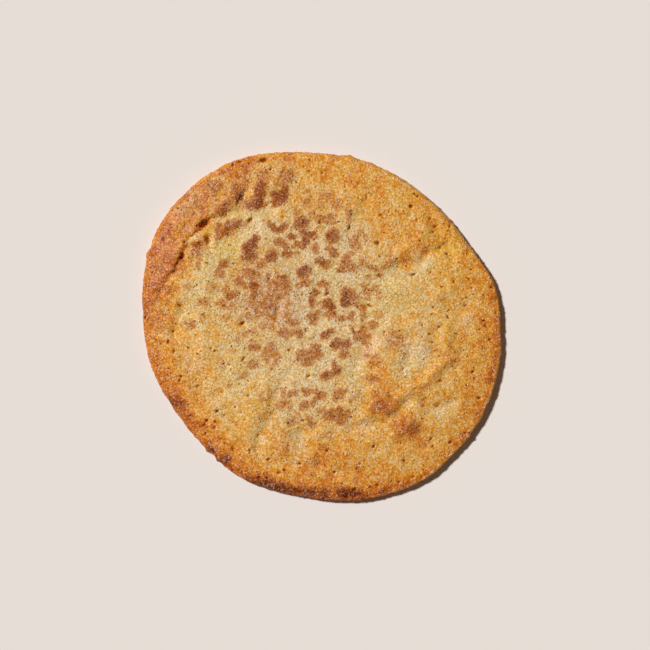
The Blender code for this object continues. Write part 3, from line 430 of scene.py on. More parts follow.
# Pores: middle, half width along and across, direction, depth in millimetres.
PORES = (
    (203.6, 224.2, 5.6, 3.2, 28, 1.25), (182.3, 256.5, 3.4, 2.2, 62, 0.95), (263.3, 160, 4.4, 2.2, 14, 0.85),
    (207.8, 240, 4.8, 2.2, 100, 0.50), (250.4, 220.4, 3.6, 1.9, 52, 0.60), (411, 206.4, 2.0, 1.9, 0, 0.80),
    (417.6, 196, 1.8, 1.5, 0, 0.6), (349.3, 228, 2.6, 1.3, 80, 0.65), (377, 243, 3.0, 2.6, 10, 0.50),
    (396.5, 259.3, 1.7, 1.2, -35, 0.55), (379.3, 276, 2.6, 1.3, -30, 0.45), (413, 274.7, 3.4, 1.2, 22, 0.60),
    (419.7, 241, 1.7, 1.3, 0, 0.5), (440.4, 247.3, 2.4, 1.1, 48, 0.60), (446.6, 254, 1.7, 1.5, 0, 0.6),
    (435, 226.6, 2.0, 1.3, 40, 0.6), (432.5, 232.4, 2.2, 1.0, 40, 0.5), (449.7, 226.3, 2.4, 1.1, 80, 0.6),
    (369.1, 305.5, 3.0, 1.2, -32, 0.65), (326.5, 294.2, 3.2, 1.2, 36, 0.60), (353.6, 331, 5.0, 1.2, -72, 0.60),
    (306.6, 329.4, 2.2, 1.7, 30, 0.45), (356.4, 273.5, 1.2, 1.0, 0, 0.4), (359.4, 274.8, 1.2, 1.0, 0, 0.4),
    (341.3, 286.5, 1.3, 1.0, 0, 0.4), (314.3, 337.3, 1.2, 1.0, 0, 0.45), (332.7, 305.2, 1.2, 1.0, 0, 0.4),
    (357.4, 307, 1.4, 1.1, 0, 0.45), (362.5, 321, 1.2, 1.0, 0, 0.4), (372, 291, 1.2, 1.0, 0, 0.4),
    (465, 305, 1.9, 1.1, -60, 0.55), (491.5, 287.4, 1.9, 1.2, 40, 0.6), (488.3, 295.4, 1.4, 1.2, 0, 0.5),
    (453.5, 281.8, 1.8, 1.6, 60, 0.55), (448.7, 310.4, 1.4, 1.1, 0, 0.5), (447.6, 317.3, 2.0, 1.1, -70, 0.55),
    (438.7, 327.3, 1.8, 1.2, 0, 0.5), (479.2, 329.4, 1.5, 1.4, 0, 0.5), (484.9, 325.4, 3.0, 1.2, -50, 0.45),
    (429.3, 334.2, 1.5, 1.2, 0, 0.5), (489.7, 339.7, 1.6, 1.5, 0, 0.7), (496, 313, 2.6, 1.0, 80, 0.5),
    (438.9, 356.2, 1.3, 1.0, 0, 0.4), (492.9, 357, 1.4, 1.2, 0, 0.5), (472.7, 371.8, 2.0, 1.4, 30, 0.8),
    (479, 398, 2.2, 1.4, -30, 0.75), (450.4, 442.1, 2.5, 1.4, 74, 0.85), (399, 482, 2.0, 1.2, 0, 0.6),
    (377.2, 485, 1.4, 1.1, 0, 0.5), (373.6, 446.3, 1.7, 1.3, 40, 0.7), (327, 450.4, 1.7, 1.3, 0, 0.7),
    (384.4, 332.1, 1.5, 1.2, -60, 0.45), (440, 380.8, 2.6, 1.2, 15, 0.5), (351, 401.4, 2.6, 1.0, -20, 0.5),
    (424, 359.3, 1.2, 1.0, 0, 0.4), (414.5, 388.4, 1.3, 1.0, 0, 0.45), (445.2, 394.3, 1.3, 1.0, 0, 0.45),
    (423.5, 399.6, 1.8, 1.1, 30, 0.5), (423, 406, 1.6, 1.1, 40, 0.5), (436.7, 406.5, 1.4, 1.0, 0, 0.45),
    (468.6, 406.5, 1.3, 1.0, 0, 0.45), (402.6, 369.3, 2.4, 1.0, 45, 0.5), (405, 377, 1.3, 1.0, 0, 0.4),
    (431, 438.6, 2.6, 1.1, 45, 0.65), (400.7, 443, 1.5, 1.1, 60, 0.5), (404, 460.6, 1.8, 1.4, 20, 0.55),
    (465, 433, 2.0, 1.3, 50, 0.6), (413, 477, 2.2, 1.3, 20, 0.6), (422, 477, 1.4, 1.1, 0, 0.5),
    (360, 463.6, 1.5, 1.1, 0, 0.5), (369.8, 466.2, 1.3, 1.0, 0, 0.45), (356.8, 468.7, 1.6, 1.1, -20, 0.55),
    (364.7, 460.3, 1.3, 1.0, 0, 0.45), (334.6, 471.8, 1.8, 1.2, 30, 0.6), (342.2, 483.8, 1.4, 1.0, 60, 0.5),
    (377.5, 485, 1.5, 1.1, 0, 0.6), (266.6, 205.4, 1.7, 1.4, 0, 0.45), (283.2, 217.4, 2.0, 1.3, -30, 0.45),
    (271.2, 202.1, 1.2, 1.0, 0, 0.5), (291.8, 228.4, 1.2, 1.0, 0, 0.5), (311.7, 196.5, 1.3, 1.0, 0, 0.45),
    (314.5, 213.3, 1.4, 1.0, 60, 0.45), (321.9, 173, 1.5, 1.3, 0, 0.6), (303.6, 167, 1.3, 1.0, 0, 0.5),
    (270.4, 169.4, 1.6, 1.1, 30, 0.6), (267.6, 172.2, 1.2, 1.0, 0, 0.5), (366.5, 197, 3.4, 1.0, 86, 0.35),
    (173.4, 331.5, 1.6, 1.2, 60, 0.6), (168.3, 341.7, 2.2, 1.3, 80, 0.7), (174, 351.3, 3.2, 1.3, 85, 0.5),
    (179.5, 305.5, 2.6, 1.4, -30, 0.45), (242.9, 323.2, 3.2, 1.7, 42, 0.6), (243.5, 358.9, 3.6, 1.5, 56, 0.5),
    (289, 350.2, 1.5, 1.3, 0, 0.6), (308.6, 375.9, 2.8, 1.2, 24, 0.6), (297.6, 285, 1.6, 1.2, 40, 0.4),
    (248.6, 381, 1.4, 1.1, 60, 0.45), (248.6, 395.5, 1.8, 1.5, 0, 0.5), (217.3, 411, 2.2, 1.7, 30, 0.65),
    (224.5, 415, 1.3, 1.0, 0, 0.6), (235.2, 407.4, 1.2, 1.0, 0, 0.45), (241.6, 412, 1.4, 1.0, 0, 0.45),
    (233.4, 422.4, 1.8, 1.0, 20, 0.45), (244.9, 419.4, 1.5, 1.1, 0, 0.45), (206.9, 420.4, 2.2, 1.4, 60, 0.66),
    (204.0, 425.0, 2.6, 1.5, 30, 0.50), (214.3, 427.6, 2.4, 1.8, 60, 0.40), (203.5, 435, 1.4, 1.0, 0, 0.5),
    (197.6, 386.3, 3.0, 1.1, 20, 0.45), (249.8, 450.2, 1.4, 1.1, 0, 0.6), (232.9, 449, 2.2, 1.1, 20, 0.5),
    (258.2, 435.2, 2.4, 1.0, 50, 0.4), (278.6, 472.4, 2.4, 1.6, 0, 0.5), (299.6, 463.5, 1.9, 1.2, -20, 0.7),
    (302.8, 420, 2.0, 1.1, 0, 0.6), (288.8, 422.7, 1.3, 1.1, 0, 0.6), (211, 348.3, 1.6, 1.1, 20, 0.5),
    (223.7, 363.8, 1.4, 1.0, 0, 0.5), (229.5, 364.6, 1.4, 1.0, 0, 0.5), (157.6, 366, 1.3, 1.0, 0, 0.5),
    (258, 209, 1.4, 1.1, 0, 0.4), (230.5, 245.5, 1.5, 1.1, 0, 0.4), (345.5, 326, 1.2, 1.0, 0, 0.35),
    (316, 344.5, 1.0, 0.9, 0, 0.3), (396.5, 224.5, 1.3, 1.0, 0, 0.4), (389, 212, 1.2, 1.0, 0, 0.4),
    (398.5, 233.8, 1.3, 1.0, 0, 0.4), (364, 212.5, 2.0, 0.9, -30, 0.4), (430, 218.3, 2.2, 1.0, 70, 0.5),
    (417, 220.5, 2.0, 0.9, -50, 0.4), (440.5, 273, 1.3, 1.0, 0, 0.4), (471.7, 288, 1.6, 1.0, 50, 0.5),
    (464, 253.5, 1.6, 1.2, 0, 0.5),
)

FINE_PORES = 150  # further small pores, scattered
SUGAR_GRAINS = 5500  # crystals that stand out of the crust
CINNAMON_FLECKS = 900
SEED = 2611
STEP_SCALE = 0.80
FOLD_SCALE = 1.5
CRISP_FROM, CRISP_ROUND, LIFTED_WALL = 318.0, 0.50, 1.75  # the lower right edge is crisp and steep


# ==== small maths ========================================================================
def smooth(t):
    t = np.clip(t, 0.0, 1.0)
    return t * t * (3.0 - 2.0 * t)


def bell(q):
    return np.exp(-(q**2))


def apart(a, b):
    return np.abs((a - b + 180.0) % 360.0 - 180.0)


def gradient_noise(x, y, pitch, seed):
    """Smooth noise of about -1 to 1 over the plan, with bumps about pitch apart."""
    n = 256
    turn = np.random.default_rng(seed).random((n, n)) * 2 * math.pi
    gx, gy = np.cos(turn), np.sin(turn)
    c, s = math.cos(1.7 * seed), math.sin(1.7 * seed)
    x, y = (c * x - s * y) / pitch + 91.7, (s * x + c * y) / pitch + 57.3
    xi, yi = np.floor(x).astype(int), np.floor(y).astype(int)
    fx, fy = x - xi, y - yi
    u, v = fx**3 * (fx * (fx * 6 - 15) + 10), fy**3 * (fy * (fy * 6 - 15) + 10)
    total = 0.0
    for dx, wx in ((0, 1 - u), (1, u)):
        for dy, wy in ((0, 1 - v), (1, v)):
            i, j = (xi + dx) % n, (yi + dy) % n
            total = total + wx * wy * (gx[i, j] * (fx - dx) + gy[i, j] * (fy - dy))
    return total * 1.5


def cell_domes(x, y, pitch, seed):
    """Rounded grains side by side: 1 at the middle of each cell and 0 between cells, and the cell's own number."""
    n = 512
    rng = np.random.default_rng(seed)
    jx, jy, own = rng.random((n, n)), rng.random((n, n)), rng.random((n, n))
    x, y = x / pitch + 200.0, y / pitch + 200.0
    xi, yi = np.floor(x).astype(int), np.floor(y).astype(int)
    first = np.full(x.shape, 9.0)
    second = np.full(x.shape, 9.0)
    number = np.zeros(x.shape)
    for dx in (-1, 0, 1):
        for dy in (-1, 0, 1):
            i, j = (xi + dx) % n, (yi + dy) % n
            far = np.hypot(xi + dx + jx[i, j] - x, yi + dy + jy[i, j] - y)
            nearer = far < first
            second = np.where(nearer, first, np.minimum(second, far))
            number = np.where(nearer, own[i, j], number)
            first = np.where(nearer, far, first)
    return smooth((second - first) / 0.55), number


def oval(x, y, feature):
    """How far points are from a feature's middle, 1 at its edge."""
    px, py, along, across, turn = feature[:5]
    mx, my = at(px, py)
    c, s = math.cos(math.radians(turn)), math.sin(math.radians(turn))
    dx, dy = x - mx, y - my
    return np.hypot((dx * c + dy * s) / (along * K), (-dx * s + dy * c) / (across * K))


def run_of(x, y, points):
    """Distance in pixels from a run of points, the share of the run passed, and the side: + on its right."""
    best = np.full(x.shape, 1e9)
    share = np.zeros(x.shape)
    side = np.zeros(x.shape)
    plan = [at(*p) for p in points]
    for i, ((ax, ay), (bx, by)) in enumerate(zip(plan, plan[1:])):
        lx, ly = bx - ax, by - ay
        t = np.clip(((x - ax) * lx + (y - ay) * ly) / (lx * lx + ly * ly), 0, 1)
        far = np.hypot(x - ax - t * lx, y - ay - t * ly) / K
        nearer = far < best
        best = np.where(nearer, far, best)
        share = np.where(nearer, i + t, share)
        side = np.where(nearer, np.sign(lx * (ay - y) + ly * (x - ax)), side)
    return best, share, side


# ==== plan ===============================================================================
_DIRECTIONS = np.arange(0.0, 360.0, 0.1)


def _edge_table():
    turn = np.radians(_DIRECTIONS - OVAL_DIRECTION)
    radius = MEAN_RADIUS + OVAL_STRETCH * np.cos(2 * turn) + EGG_SHIFT * np.cos(turn)
    for middle, spread, amount in EDGE_SWELLS:
        radius += amount * bell(apart(_DIRECTIONS, middle) / spread)
    a = np.radians(_DIRECTIONS)
    scale = MEAN_RADIUS / CRUMBLE_PITCH
    rough = [noise.noise(Vector((math.cos(t), math.sin(t), 0.37)) * scale) for t in a]
    return radius + EDGE_CRUMBLE * np.array(rough)


_EDGE = _edge_table()


def edge_radius(direction):
    return np.interp(direction % 360.0, _DIRECTIONS, _EDGE, period=360.0)


def pole_place():
    """Where the pole is in the part's frame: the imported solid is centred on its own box."""
    directions = np.arange(168) * 360.0 / 168
    radius, a = edge_radius(directions), np.radians(directions)
    x, y = radius * np.cos(a), radius * np.sin(a)
    return -(x.min() + x.max()) / 2, -(y.min() + y.max()) / 2


# ==== relief =============================================================================
def base_height(x, y):
    """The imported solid's height without its folds: edge, crown and sunken middle."""
    direction = np.degrees(np.arctan2(y, x)) % 360.0
    inward = np.maximum(edge_radius(direction) - np.hypot(x, y), 0.0)
    height = EDGE_HEIGHT + (CROWN_HEIGHT - EDGE_HEIGHT) * smooth(inward / CROWN_WIDTH) ** CROWN_ROUND
    height -= SINK_DEPTH * bell(np.hypot(x - SINK_CENTRE[0], y - SINK_CENTRE[1]) / SINK_RADIUS)
    return height, inward, direction


def crispness(direction):
    """1 where the edge stands crisp and steep, round the lower right, and 0 on the other side."""
    return smooth((82.0 - apart(direction, CRISP_FROM)) / 26.0)


def side_height(direction):
    """Where the side is widest: higher at the crisp lower right and lower at the upper right."""
    lower = 0.56 * smooth((46.0 - apart(direction, 48.0)) / 24.0)
    return WALL_HEIGHT + (LIFTED_WALL - WALL_HEIGHT) * crispness(direction) - lower


def pale_edge_line(direction):
    """1 where the very edge is a pale line, at the lower right."""
    return smooth((40.0 - apart(direction, 324.0)) / 14.0)


def island_field(x, y):
    """Cover of cinnamon sugar, and the pale dough that shows between its islands."""
    wx = x + K * (1.8 * gradient_noise(x, y, 7.5 * K, 11) + 1.1 * gradient_noise(x, y, 3.6 * K, 12))
    wy = y + K * (1.8 * gradient_noise(x, y, 7.5 * K, 13) + 1.1 * gradient_noise(x, y, 3.6 * K, 14))
    cover = np.zeros(x.shape)
    near = np.zeros(x.shape)
    for island in ISLANDS:
        q = oval(wx, wy, island)
        cover = np.maximum(cover, island[5] * smooth((1.88 - q) / 1.30))
        near = np.maximum(near, min(1.0, 0.35 + island[5]) * bell(np.maximum(q - 1.0, 0.0) / 0.95))
    return cover, near * (1.0 - smooth(cover / 0.50))


def skin_and_shade_field(x, y):
    """Brown skins on the dough, without cinnamon, some of them painted shade."""
    wx = x + K * (3.0 * gradient_noise(x, y, 8 * K, 15) + 1.8 * gradient_noise(x, y, 3.6 * K, 16))
    wy = y + K * (3.0 * gradient_noise(x, y, 8 * K, 17) + 1.8 * gradient_noise(x, y, 3.6 * K, 18))
    skin = np.zeros(x.shape)
    for place in SKINS_AND_SHADE:
        skin = np.maximum(skin, place[5] * smooth((1.65 - oval(wx, wy, place)) / 1.25))
    return skin


def top_relief(x, y):
    """Height of the top in millimetres, and the fields that the colours need."""
    height, inward, direction = base_height(x, y)
    inner = smooth(inward / 6.0)

    # the high rim and its step
    wob = 2.0 * gradient_noise(x, y, 8 * K, 21) + 1.6 * gradient_noise(x, y, 4.2 * K, 22) + 0.9 * gradient_noise(x, y, 2.7 * K, 24)
    far, share, side = run_of(x, y, STEP)
    rise = np.interp(share, np.arange(len(STEP_RISE)), STEP_RISE) * STEP_SCALE
    signed = far * side + wob  # + is inside, below the step
    along = smooth((far + 60) / 60)
    span = (HIGH_RIM_TO - HIGH_RIM_FROM) / 2
    middle = (HIGH_RIM_TO + HIGH_RIM_FROM) / 2
    here = smooth((span + HIGH_RIM_FADE - apart(direction, middle)) / HIGH_RIM_FADE)
    face = 1.0 - smooth((signed + 1.6) / 3.4)
    crest = smooth(inward / 4.2)
    lip = bell((signed + 5.5) / 5.0) * 0.20 * rise
    high = here * face * (0.30 + 0.70 * crest)
    torn = np.interp(share, np.arange(len(STEP_TORN)), STEP_TORN)
    groove = bell((signed - 1.2) / 1.7) * (0.10 + 0.34 * torn) * rise
    height = height + np.where(here > 0, high * (rise * 1.15) + here * (lip * face - groove), 0.0) * along

    # folds
    fold = np.zeros(x.shape)
    for points, width, amount in FOLDS:
        off, _, _ = run_of(x, y, points)
        fold += amount * bell(off / width)
    wave = np.array([noise.noise(Vector((a, b, 0.013)) / UNEVEN_PITCH) for a, b in zip(x * 1.0, y * 1.0)])
    height += inner * (fold * FOLD_SCALE + UNEVENNESS * wave)
    height += inner * (0.13 * gradient_noise(x, y, 3.6, 31) + 0.065 * gradient_noise(x, y, 1.9, 32))

    cover, between = island_field(x, y)
    height += inner * (0.05 * smooth(cover / 0.7) - 0.06 * between)

    # the rounded edge, crisp at the lower right
    crisp = crispness(direction)
    t = 1.0 - np.clip(inward / (EDGE_ROUND + (CRISP_ROUND - EDGE_ROUND) * crisp), 0.0, 1.0)
    wall = side_height(direction)
    height = wall + (height - wall) * np.sqrt(np.maximum(1.0 - t * t, 0.0))
    broken = 0.75 + 0.9 * gradient_noise(x, y, 9 * K, 23)
    # painted shadow: a dark line along the crack under the step's lip, on the crack's own browner colour
    crack_shade = here * torn * np.clip(broken, 0.1, 1.3) * bell((signed - 0.9) / 1.7)
    above = here * (1.0 - smooth((signed + 1.6) / 2.6)) - 0.8 * here * bell((signed - 8.0) / 7.0)
    return height, inward, direction, cover, between, crack_shade, above


def pore_field(x, y):
    """Depth of the pores in millimetres, and how dark they are painted, as painted shade in the holes."""
    depth = np.zeros(x.shape)
    dark = np.zeros(x.shape)
    rng = np.random.default_rng(SEED)
    pores = list(PORES)
    while len(pores) < len(PORES) + FINE_PORES:
        r, a = math.sqrt(rng.random()) * 0.97, rng.random() * 360
        if rng.random() > 0.35 + 0.65 * r:
            continue
        radius = float(edge_radius(a)) * r / K
        px = POLE_PX[0] + radius * math.cos(math.radians(a))
        py = POLE_PX[1] - radius * math.sin(math.radians(a))
        size = 0.80 + 0.50 * rng.random() ** 2
        pores.append((px, py, size * (1 + 0.8 * rng.random()), size, rng.random() * 180, 0.14 + 0.16 * rng.random()))
    for pore in pores:
        mx, my = at(pore[0], pore[1])
        reach = (pore[2] + 3) * K * 1.6
        near = np.nonzero((np.abs(x - mx) < reach) & (np.abs(y - my) < reach))[0]
        if len(near) == 0:
            continue
        q = oval(x[near], y[near], pore)
        hole = smooth((1.45 - q) / 0.95)
        depth[near] = np.maximum(depth[near], 0.62 * pore[5] * hole)
        strong = min(0.88, 0.12 + 1.05 * pore[5])
        dark[near] = np.maximum(dark[near], strong * smooth((1.26 - q) / 0.85))
    return depth, dark


def bake_field(x, y, inward, direction, crack_shade, above):
    """Browning: 0 pale dough, 0.5 golden, 0.75 orange brown, 1 nearly burnt. It also carries painted shade and
    painted light from the browning table, and the painted shadow along the crack.
    """
    bake = np.full(x.shape, 0.50)
    wx = x + K * 4.0 * gradient_noise(x, y, 16 * K, 41)
    wy = y + K * 4.0 * gradient_noise(x, y, 16 * K, 42)
    for place in BROWNING_AND_SHADING:
        bake += place[5] * bell(oval(wx, wy, place) / 1.15)
    rim = np.array(RIM_TONE)
    strength = np.interp(direction, rim[:, 0], rim[:, 1])
    reach = np.interp(direction, rim[:, 0], rim[:, 2]) * K
    ragged = inward + 1.6 * gradient_noise(x, y, 12 * K, 43) + 0.8 * gradient_noise(x, y, 5 * K, 44)
    bake += strength * np.exp(-np.maximum(ragged, 0.0) / reach * 1.15) * 0.85
    calm = 1.0 - 0.45 * smooth((bake - 0.60) / 0.20)
    bake += calm * (0.09 * gradient_noise(x, y, 22 * K, 47) + 0.13 * gradient_noise(x, y, 11 * K, 45) + 0.12 * gradient_noise(x, y, 5 * K, 46))
    bake = np.where(bake > 0.72, 0.72 + 0.15 * np.tanh((bake - 0.72) / 0.15), bake)
    # a browner band just inside the crisp edge, and a paler line at the very edge
    bake += 0.09 * crispness(direction) * bell((inward - 1.15) / 0.65) - 0.12 * pale_edge_line(direction) * bell(inward / 0.45)
    tone = np.array(EDGE_TONE)
    bake += np.interp(direction, tone[:, 0], tone[:, 1]) * bell(inward / 1.1)
    for spot in SCORCHED:
        bake += spot[5] * 0.24 * smooth((1.8 - oval(wx * 0.5 + x * 0.5, wy * 0.5 + y * 0.5, spot)) / 1.3)
    # the crack's dark line is painted shadow under the lip
    return bake + 0.40 * crack_shade + 0.10 * above


# ==== the crust mesh =====================================================================
GRID = 288  # squares across the top; the edge has four times as many facets
FOOT_GRID = 72
WALL_ROWS = 6


def disc_grid(n):
    """A square grid of n x n drawn onto the unit disc: radius, direction and the order of the edge points."""
    u = np.linspace(-1.0, 1.0, n + 1)
    a, b = np.meshgrid(u, u, indexing="ij")
    flat = np.abs(a) >= np.abs(b)
    safe_a = np.where(np.abs(a) < 1e-12, 1.0, a)
    safe_b = np.where(np.abs(b) < 1e-12, 1.0, b)
    radius = np.where(flat, a, b)
    turn = np.where(flat, (math.pi / 4) * b / safe_a, math.pi / 2 - (math.pi / 4) * a / safe_b)
    x, y = radius * np.cos(turn), radius * np.sin(turn)
    middle = n // 2
    x[middle, middle] = y[middle, middle] = 0.0
    number = np.arange((n + 1) ** 2).reshape(n + 1, n + 1)
    edge = np.concatenate([number[n, :n], number[n:0:-1, n], number[0, n:0:-1], number[: n, 0]])
    # anticlockwise from the corner at the lower right
    return x.ravel(), y.ravel(), number, edge


def crowd_edge(s, reach=0.02):
    """Rings crowd together towards the edge, where the crust turns down."""
    def g(v):
        return v - reach * (1 - np.exp(-v / reach))
    return g(s) / g(1.0)


def vertex_normals(points, quads, triangles):
    normals = np.zeros(points.shape)
    faces = [quads[:, [0, 1, 2]], quads[:, [0, 2, 3]], triangles]
    for f in faces:
        if len(f) == 0:
            continue
        n = np.cross(points[f[:, 1]] - points[f[:, 0]], points[f[:, 2]] - points[f[:, 0]])
        for c in range(3):
            np.add.at(normals, f[:, c], n)
    return normals / np.maximum(np.linalg.norm(normals, axis=1, keepdims=True), 1e-12)


def build_crust():
    ux, uy, number, edge = disc_grid(GRID)
    rho = np.minimum(np.hypot(ux, uy), 1.0)
    direction = np.degrees(np.arctan2(uy, ux)) % 360.0
    inward_share = crowd_edge(1.0 - rho)
    radius = edge_radius(direction) * (1.0 - inward_share)
    # fine crumble of the edge line, and the little steps where crumbs broke off
    a = np.radians(direction)
    rim = np.exp(-inward_share * 42.6 / 0.9)
    fine = 0.11 * gradient_noise(np.cos(a) * 42.6, np.sin(a) * 42.6, 1.5, 51)
    fine += 0.07 * gradient_noise(np.cos(a) * 42.6, np.sin(a) * 42.6, 0.7, 52)
    for d, width, amount in ((155.2, 1.0, -0.32), (157.5, 1.6, 0.22), (227.5, 0.9, 0.30), (230.2, 0.8, -0.26), (232.2, 0.6, 0.22)):
        fine += amount * bell(apart(direction, d) / width)
    crisp = crispness(direction)
    fine += crisp * 0.13 * gradient_noise(np.cos(a) * 42.6, np.sin(a) * 42.6, 2.6, 54)
    radius = radius + fine * rim
    x, y = radius * np.cos(a), radius * np.sin(a)

    z, inward, direction, cover, between, crack_shade, above = top_relief(x, y)
    lipped = crispness(direction) * bell(inward / 1.3)
    z += lipped * (0.26 * gradient_noise(x, y, 2.2, 55) + 0.16 * gradient_noise(x, y, 1.25, 56))
    wall_top = side_height(direction) + 0.6 * lipped * 0.26 * gradient_noise(x, y, 2.2, 55)
    z = np.maximum(z, wall_top)
    z[edge] = wall_top[edge]
    top = np.stack([x, y, z], 1)
    # quads of the top, anticlockwise from above
    q = np.stack([number[:-1, :-1], number[1:, :-1], number[1:, 1:], number[:-1, 1:]], -1).reshape(-1, 4)

    points = [top]
    quads = [q]
    count = len(top)
    ring = edge
    ex, ey, ea = x[edge], y[edge], np.radians(np.degrees(np.arctan2(y[edge], x[edge])))
    er = np.hypot(ex, ey)
    for k in range(1, WALL_ROWS + 1):
        t = math.radians(90.0 * k / WALL_ROWS)
        back = FOOT_SETBACK * (1.0 - math.cos(t)) + 0.05 * gradient_noise(ex, ey + 7.3 * k, 1.1, 53)
        zz = wall_top[edge] * (1.0 - math.sin(t))
        points.append(np.stack([(er - back) * np.cos(ea), (er - back) * np.sin(ea), zz], 1))
        new = count + np.arange(len(edge))
        count += len(edge)
        quads.append(np.stack([new, np.roll(new, -1), np.roll(ring, -1), ring], 1))
        ring = new

    # underside: a coarser grid, joined to the foot of the side four facets to one
    fx, fy, fnumber, fedge = disc_grid(FOOT_GRID)
    frho = np.minimum(np.hypot(fx, fy), 1.0)
    fdir = np.degrees(np.arctan2(fy, fx)) % 360.0
    fr = (edge_radius(fdir) - 1.75) * frho
    fa = np.radians(fdir)
    px, py = fr * np.cos(fa), fr * np.sin(fa)
    hollow = np.maximum(0.0, gradient_noise(px, py, 5.0, 61) - 0.25) * 0.35
    hollow += np.maximum(0.0, gradient_noise(px, py, 2.6, 62) - 0.45) * 0.30
    hollow *= smooth((1.0 - frho) / 0.06)
    points.append(np.stack([px, py, hollow], 1))
    base = count
    count += len(px)
    fq = np.stack([fnumber[:-1, :-1], fnumber[:-1, 1:], fnumber[1:, 1:], fnumber[1:, :-1]], -1).reshape(-1, 4) + base
    quads.append(fq)
    c = fedge + base
    cn = np.roll(c, -1)
    f = ring.reshape(-1, 4)
    f4 = np.roll(ring, -4).reshape(-1, 4)[:, 0]
    tris = np.concatenate([
        np.stack([f[:, 0], c, f[:, 1]], 1), np.stack([f[:, 1], c, f[:, 2]], 1),
        np.stack([f[:, 2], c, cn], 1), np.stack([f[:, 2], cn, f[:, 3]], 1),
        np.stack([f[:, 3], cn, f4], 1),
    ])
    points, quads = np.concatenate(points), np.concatenate(quads)

    # lumps of the crust stand out along the surface, and pores go into it
    normals = vertex_normals(points, quads, tris)
    gx, gy = points[:, 0] + 0.83 * points[:, 2], points[:, 1] - 0.55 * points[:, 2]
    lift = 0.040 * gradient_noise(gx, gy, 1.45, 72) + 0.030 * gradient_noise(gx, gy, 1.15, 73)
    under = np.arange(len(points)) >= base
    lift[under] = 0.0
    foot = (points[:, 2] < 0.02) & ~under
    lift[foot] = 0.0
    depth, dark = pore_field(points[:len(top), 0], points[:len(top), 1])
    calm = np.ones(len(points))
    calm[:len(top)] = 0.76 + 0.46 * (1 - smooth(inward / 9.0))
    points = points + normals * (lift * calm)[:, None]
    points[:len(top), 2] -= depth
    points[:, 2] = np.maximum(points[:, 2], 0.0)

    # masks
    bake, cinnamon, veil, cream, skin, pit, amber = (np.full(len(points), v) for v in (0.80, 0.0, 0.0, 0.0, 0.0, 0.0, 0.0))
    n = len(top)
    bake[:n] = bake_field(x, y, inward, direction, crack_shade, above)
    # veils of cinnamon sugar, and painted shade in the hollow right of the middle
    for patch in VEILS_AND_SHADE:
        veil[:n] = np.maximum(veil[:n], patch[5] * bell(oval(x, y, patch) / 1.1))
    veil[:n] *= 1.0 + 0.9 * gradient_noise(x, y, 6 * K, 81) + 0.6 * gradient_noise(x, y, 3.5 * K, 83)
    for place in AMBER:
        amber[:n] += place[5] * bell(oval(x, y, place) / 1.15)
    cinnamon[:n] = cover
    cream[:n] = np.maximum(between, 0.50 * pale_edge_line(direction) * bell(inward / 0.42))
    skin[:n] = skin_and_shade_field(x, y)
    pit[:n] = dark
    # the side is browned like the rim above it, evened out towards a middle tone
    rim_bake = bake[edge]
    wall = bake[len(top):base].reshape(WALL_ROWS, -1)
    wall[:] = rim_bake * 0.72 + 0.20
    bake[len(top):base] = wall.ravel()
    bake[under] = 0.78 + 0.10 * smooth((np.hypot(points[under, 0], points[under, 1]) - 30) / 12)
    bake[under] += 0.06 * gradient_noise(points[under, 0], points[under, 1], 9.0, 82)

    return {
        "points": points, "quads": quads, "tris": tris, "top": len(top), "base": base, "under": under,
        "bake": bake, "cinnamon": cinnamon, "veil": veil, "cream": cream, "skin": skin, "pit": pit, "amber": amber,
    }


def mesh_of(name, points_mm, faces_list, shift):
    mesh = bpy.data.meshes.new(name)
    points = (points_mm + np.array([shift[0], shift[1], 0.0])) * MM
    sizes = np.concatenate([np.full(len(f), f.shape[1]) for f in faces_list]).astype(np.int32)
    corners = np.concatenate([f.ravel() for f in faces_list]).astype(np.int32)
    mesh.vertices.add(len(points))
    mesh.vertices.foreach_set("co", points.astype(np.float32).ravel())
    mesh.loops.add(len(corners))
    mesh.loops.foreach_set("vertex_index", corners)
    mesh.polygons.add(len(sizes))
    starts = np.concatenate([[0], np.cumsum(sizes)[:-1]]).astype(np.int32)
    mesh.polygons.foreach_set("loop_start", starts)
    mesh.update(calc_edges=True)
    mesh.validate(verbose=False)
    return mesh


def put_attribute(mesh, name, values):
    attribute = mesh.attributes.new(name, "FLOAT", "POINT")
    attribute.data.foreach_set("value", np.asarray(values, np.float32))


def lay_out(mesh, crust):
    """The crust's flat layout: top with its side round it as one disc, and the underside as a smaller one."""
    points = crust["points"]
    layout = mesh.uv_layers.new(name="OFBake")
    r = np.hypot(points[:, 0], points[:, 1])
    top, base = crust["top"], crust["base"]
    a = np.arctan2(points[:, 1], points[:, 0])
    out = r.copy()
    # Where the crust turns down, the layout runs on outwards by the drop.
    edge = edge_radius(np.degrees(a))
    drop = np.clip(EDGE_HEIGHT - points[:, 2], 0.0, None) * smooth((r - (edge - 2.6)) / 1.2)
    out = r + 0.75 * drop
    wall = (np.arange(len(points)) >= top) & (np.arange(len(points)) < base)
    out[wall] = edge[wall] + 0.75 * (EDGE_HEIGHT - points[wall, 2])
    scale = 0.395 / 50.0
    u = 0.405 + out * np.cos(a) * scale
    v = 0.405 + out * np.sin(a) * scale
    under = crust["under"]
    small = 0.165 / 47.0
    u2 = 0.828 + r * np.cos(a) * small
    v2 = 0.828 + r * np.sin(a) * small
    corner = np.zeros(len(mesh.loops), np.int32)
    mesh.loops.foreach_get("vertex_index", corner)
    sizes = np.zeros(len(mesh.polygons), np.int32)
    mesh.polygons.foreach_get("loop_total", sizes)
    belongs = np.repeat(np.arange(len(sizes)), sizes)
    below = np.zeros(len(sizes), bool)
    np.logical_or.at(below, belongs, under[corner])
    low = below[belongs]
    uv = np.stack([np.where(low, u2[corner], u[corner]), np.where(low, v2[corner], v[corner])], 1)
    layout.data.foreach_set("uv", uv.astype(np.float32).ravel())


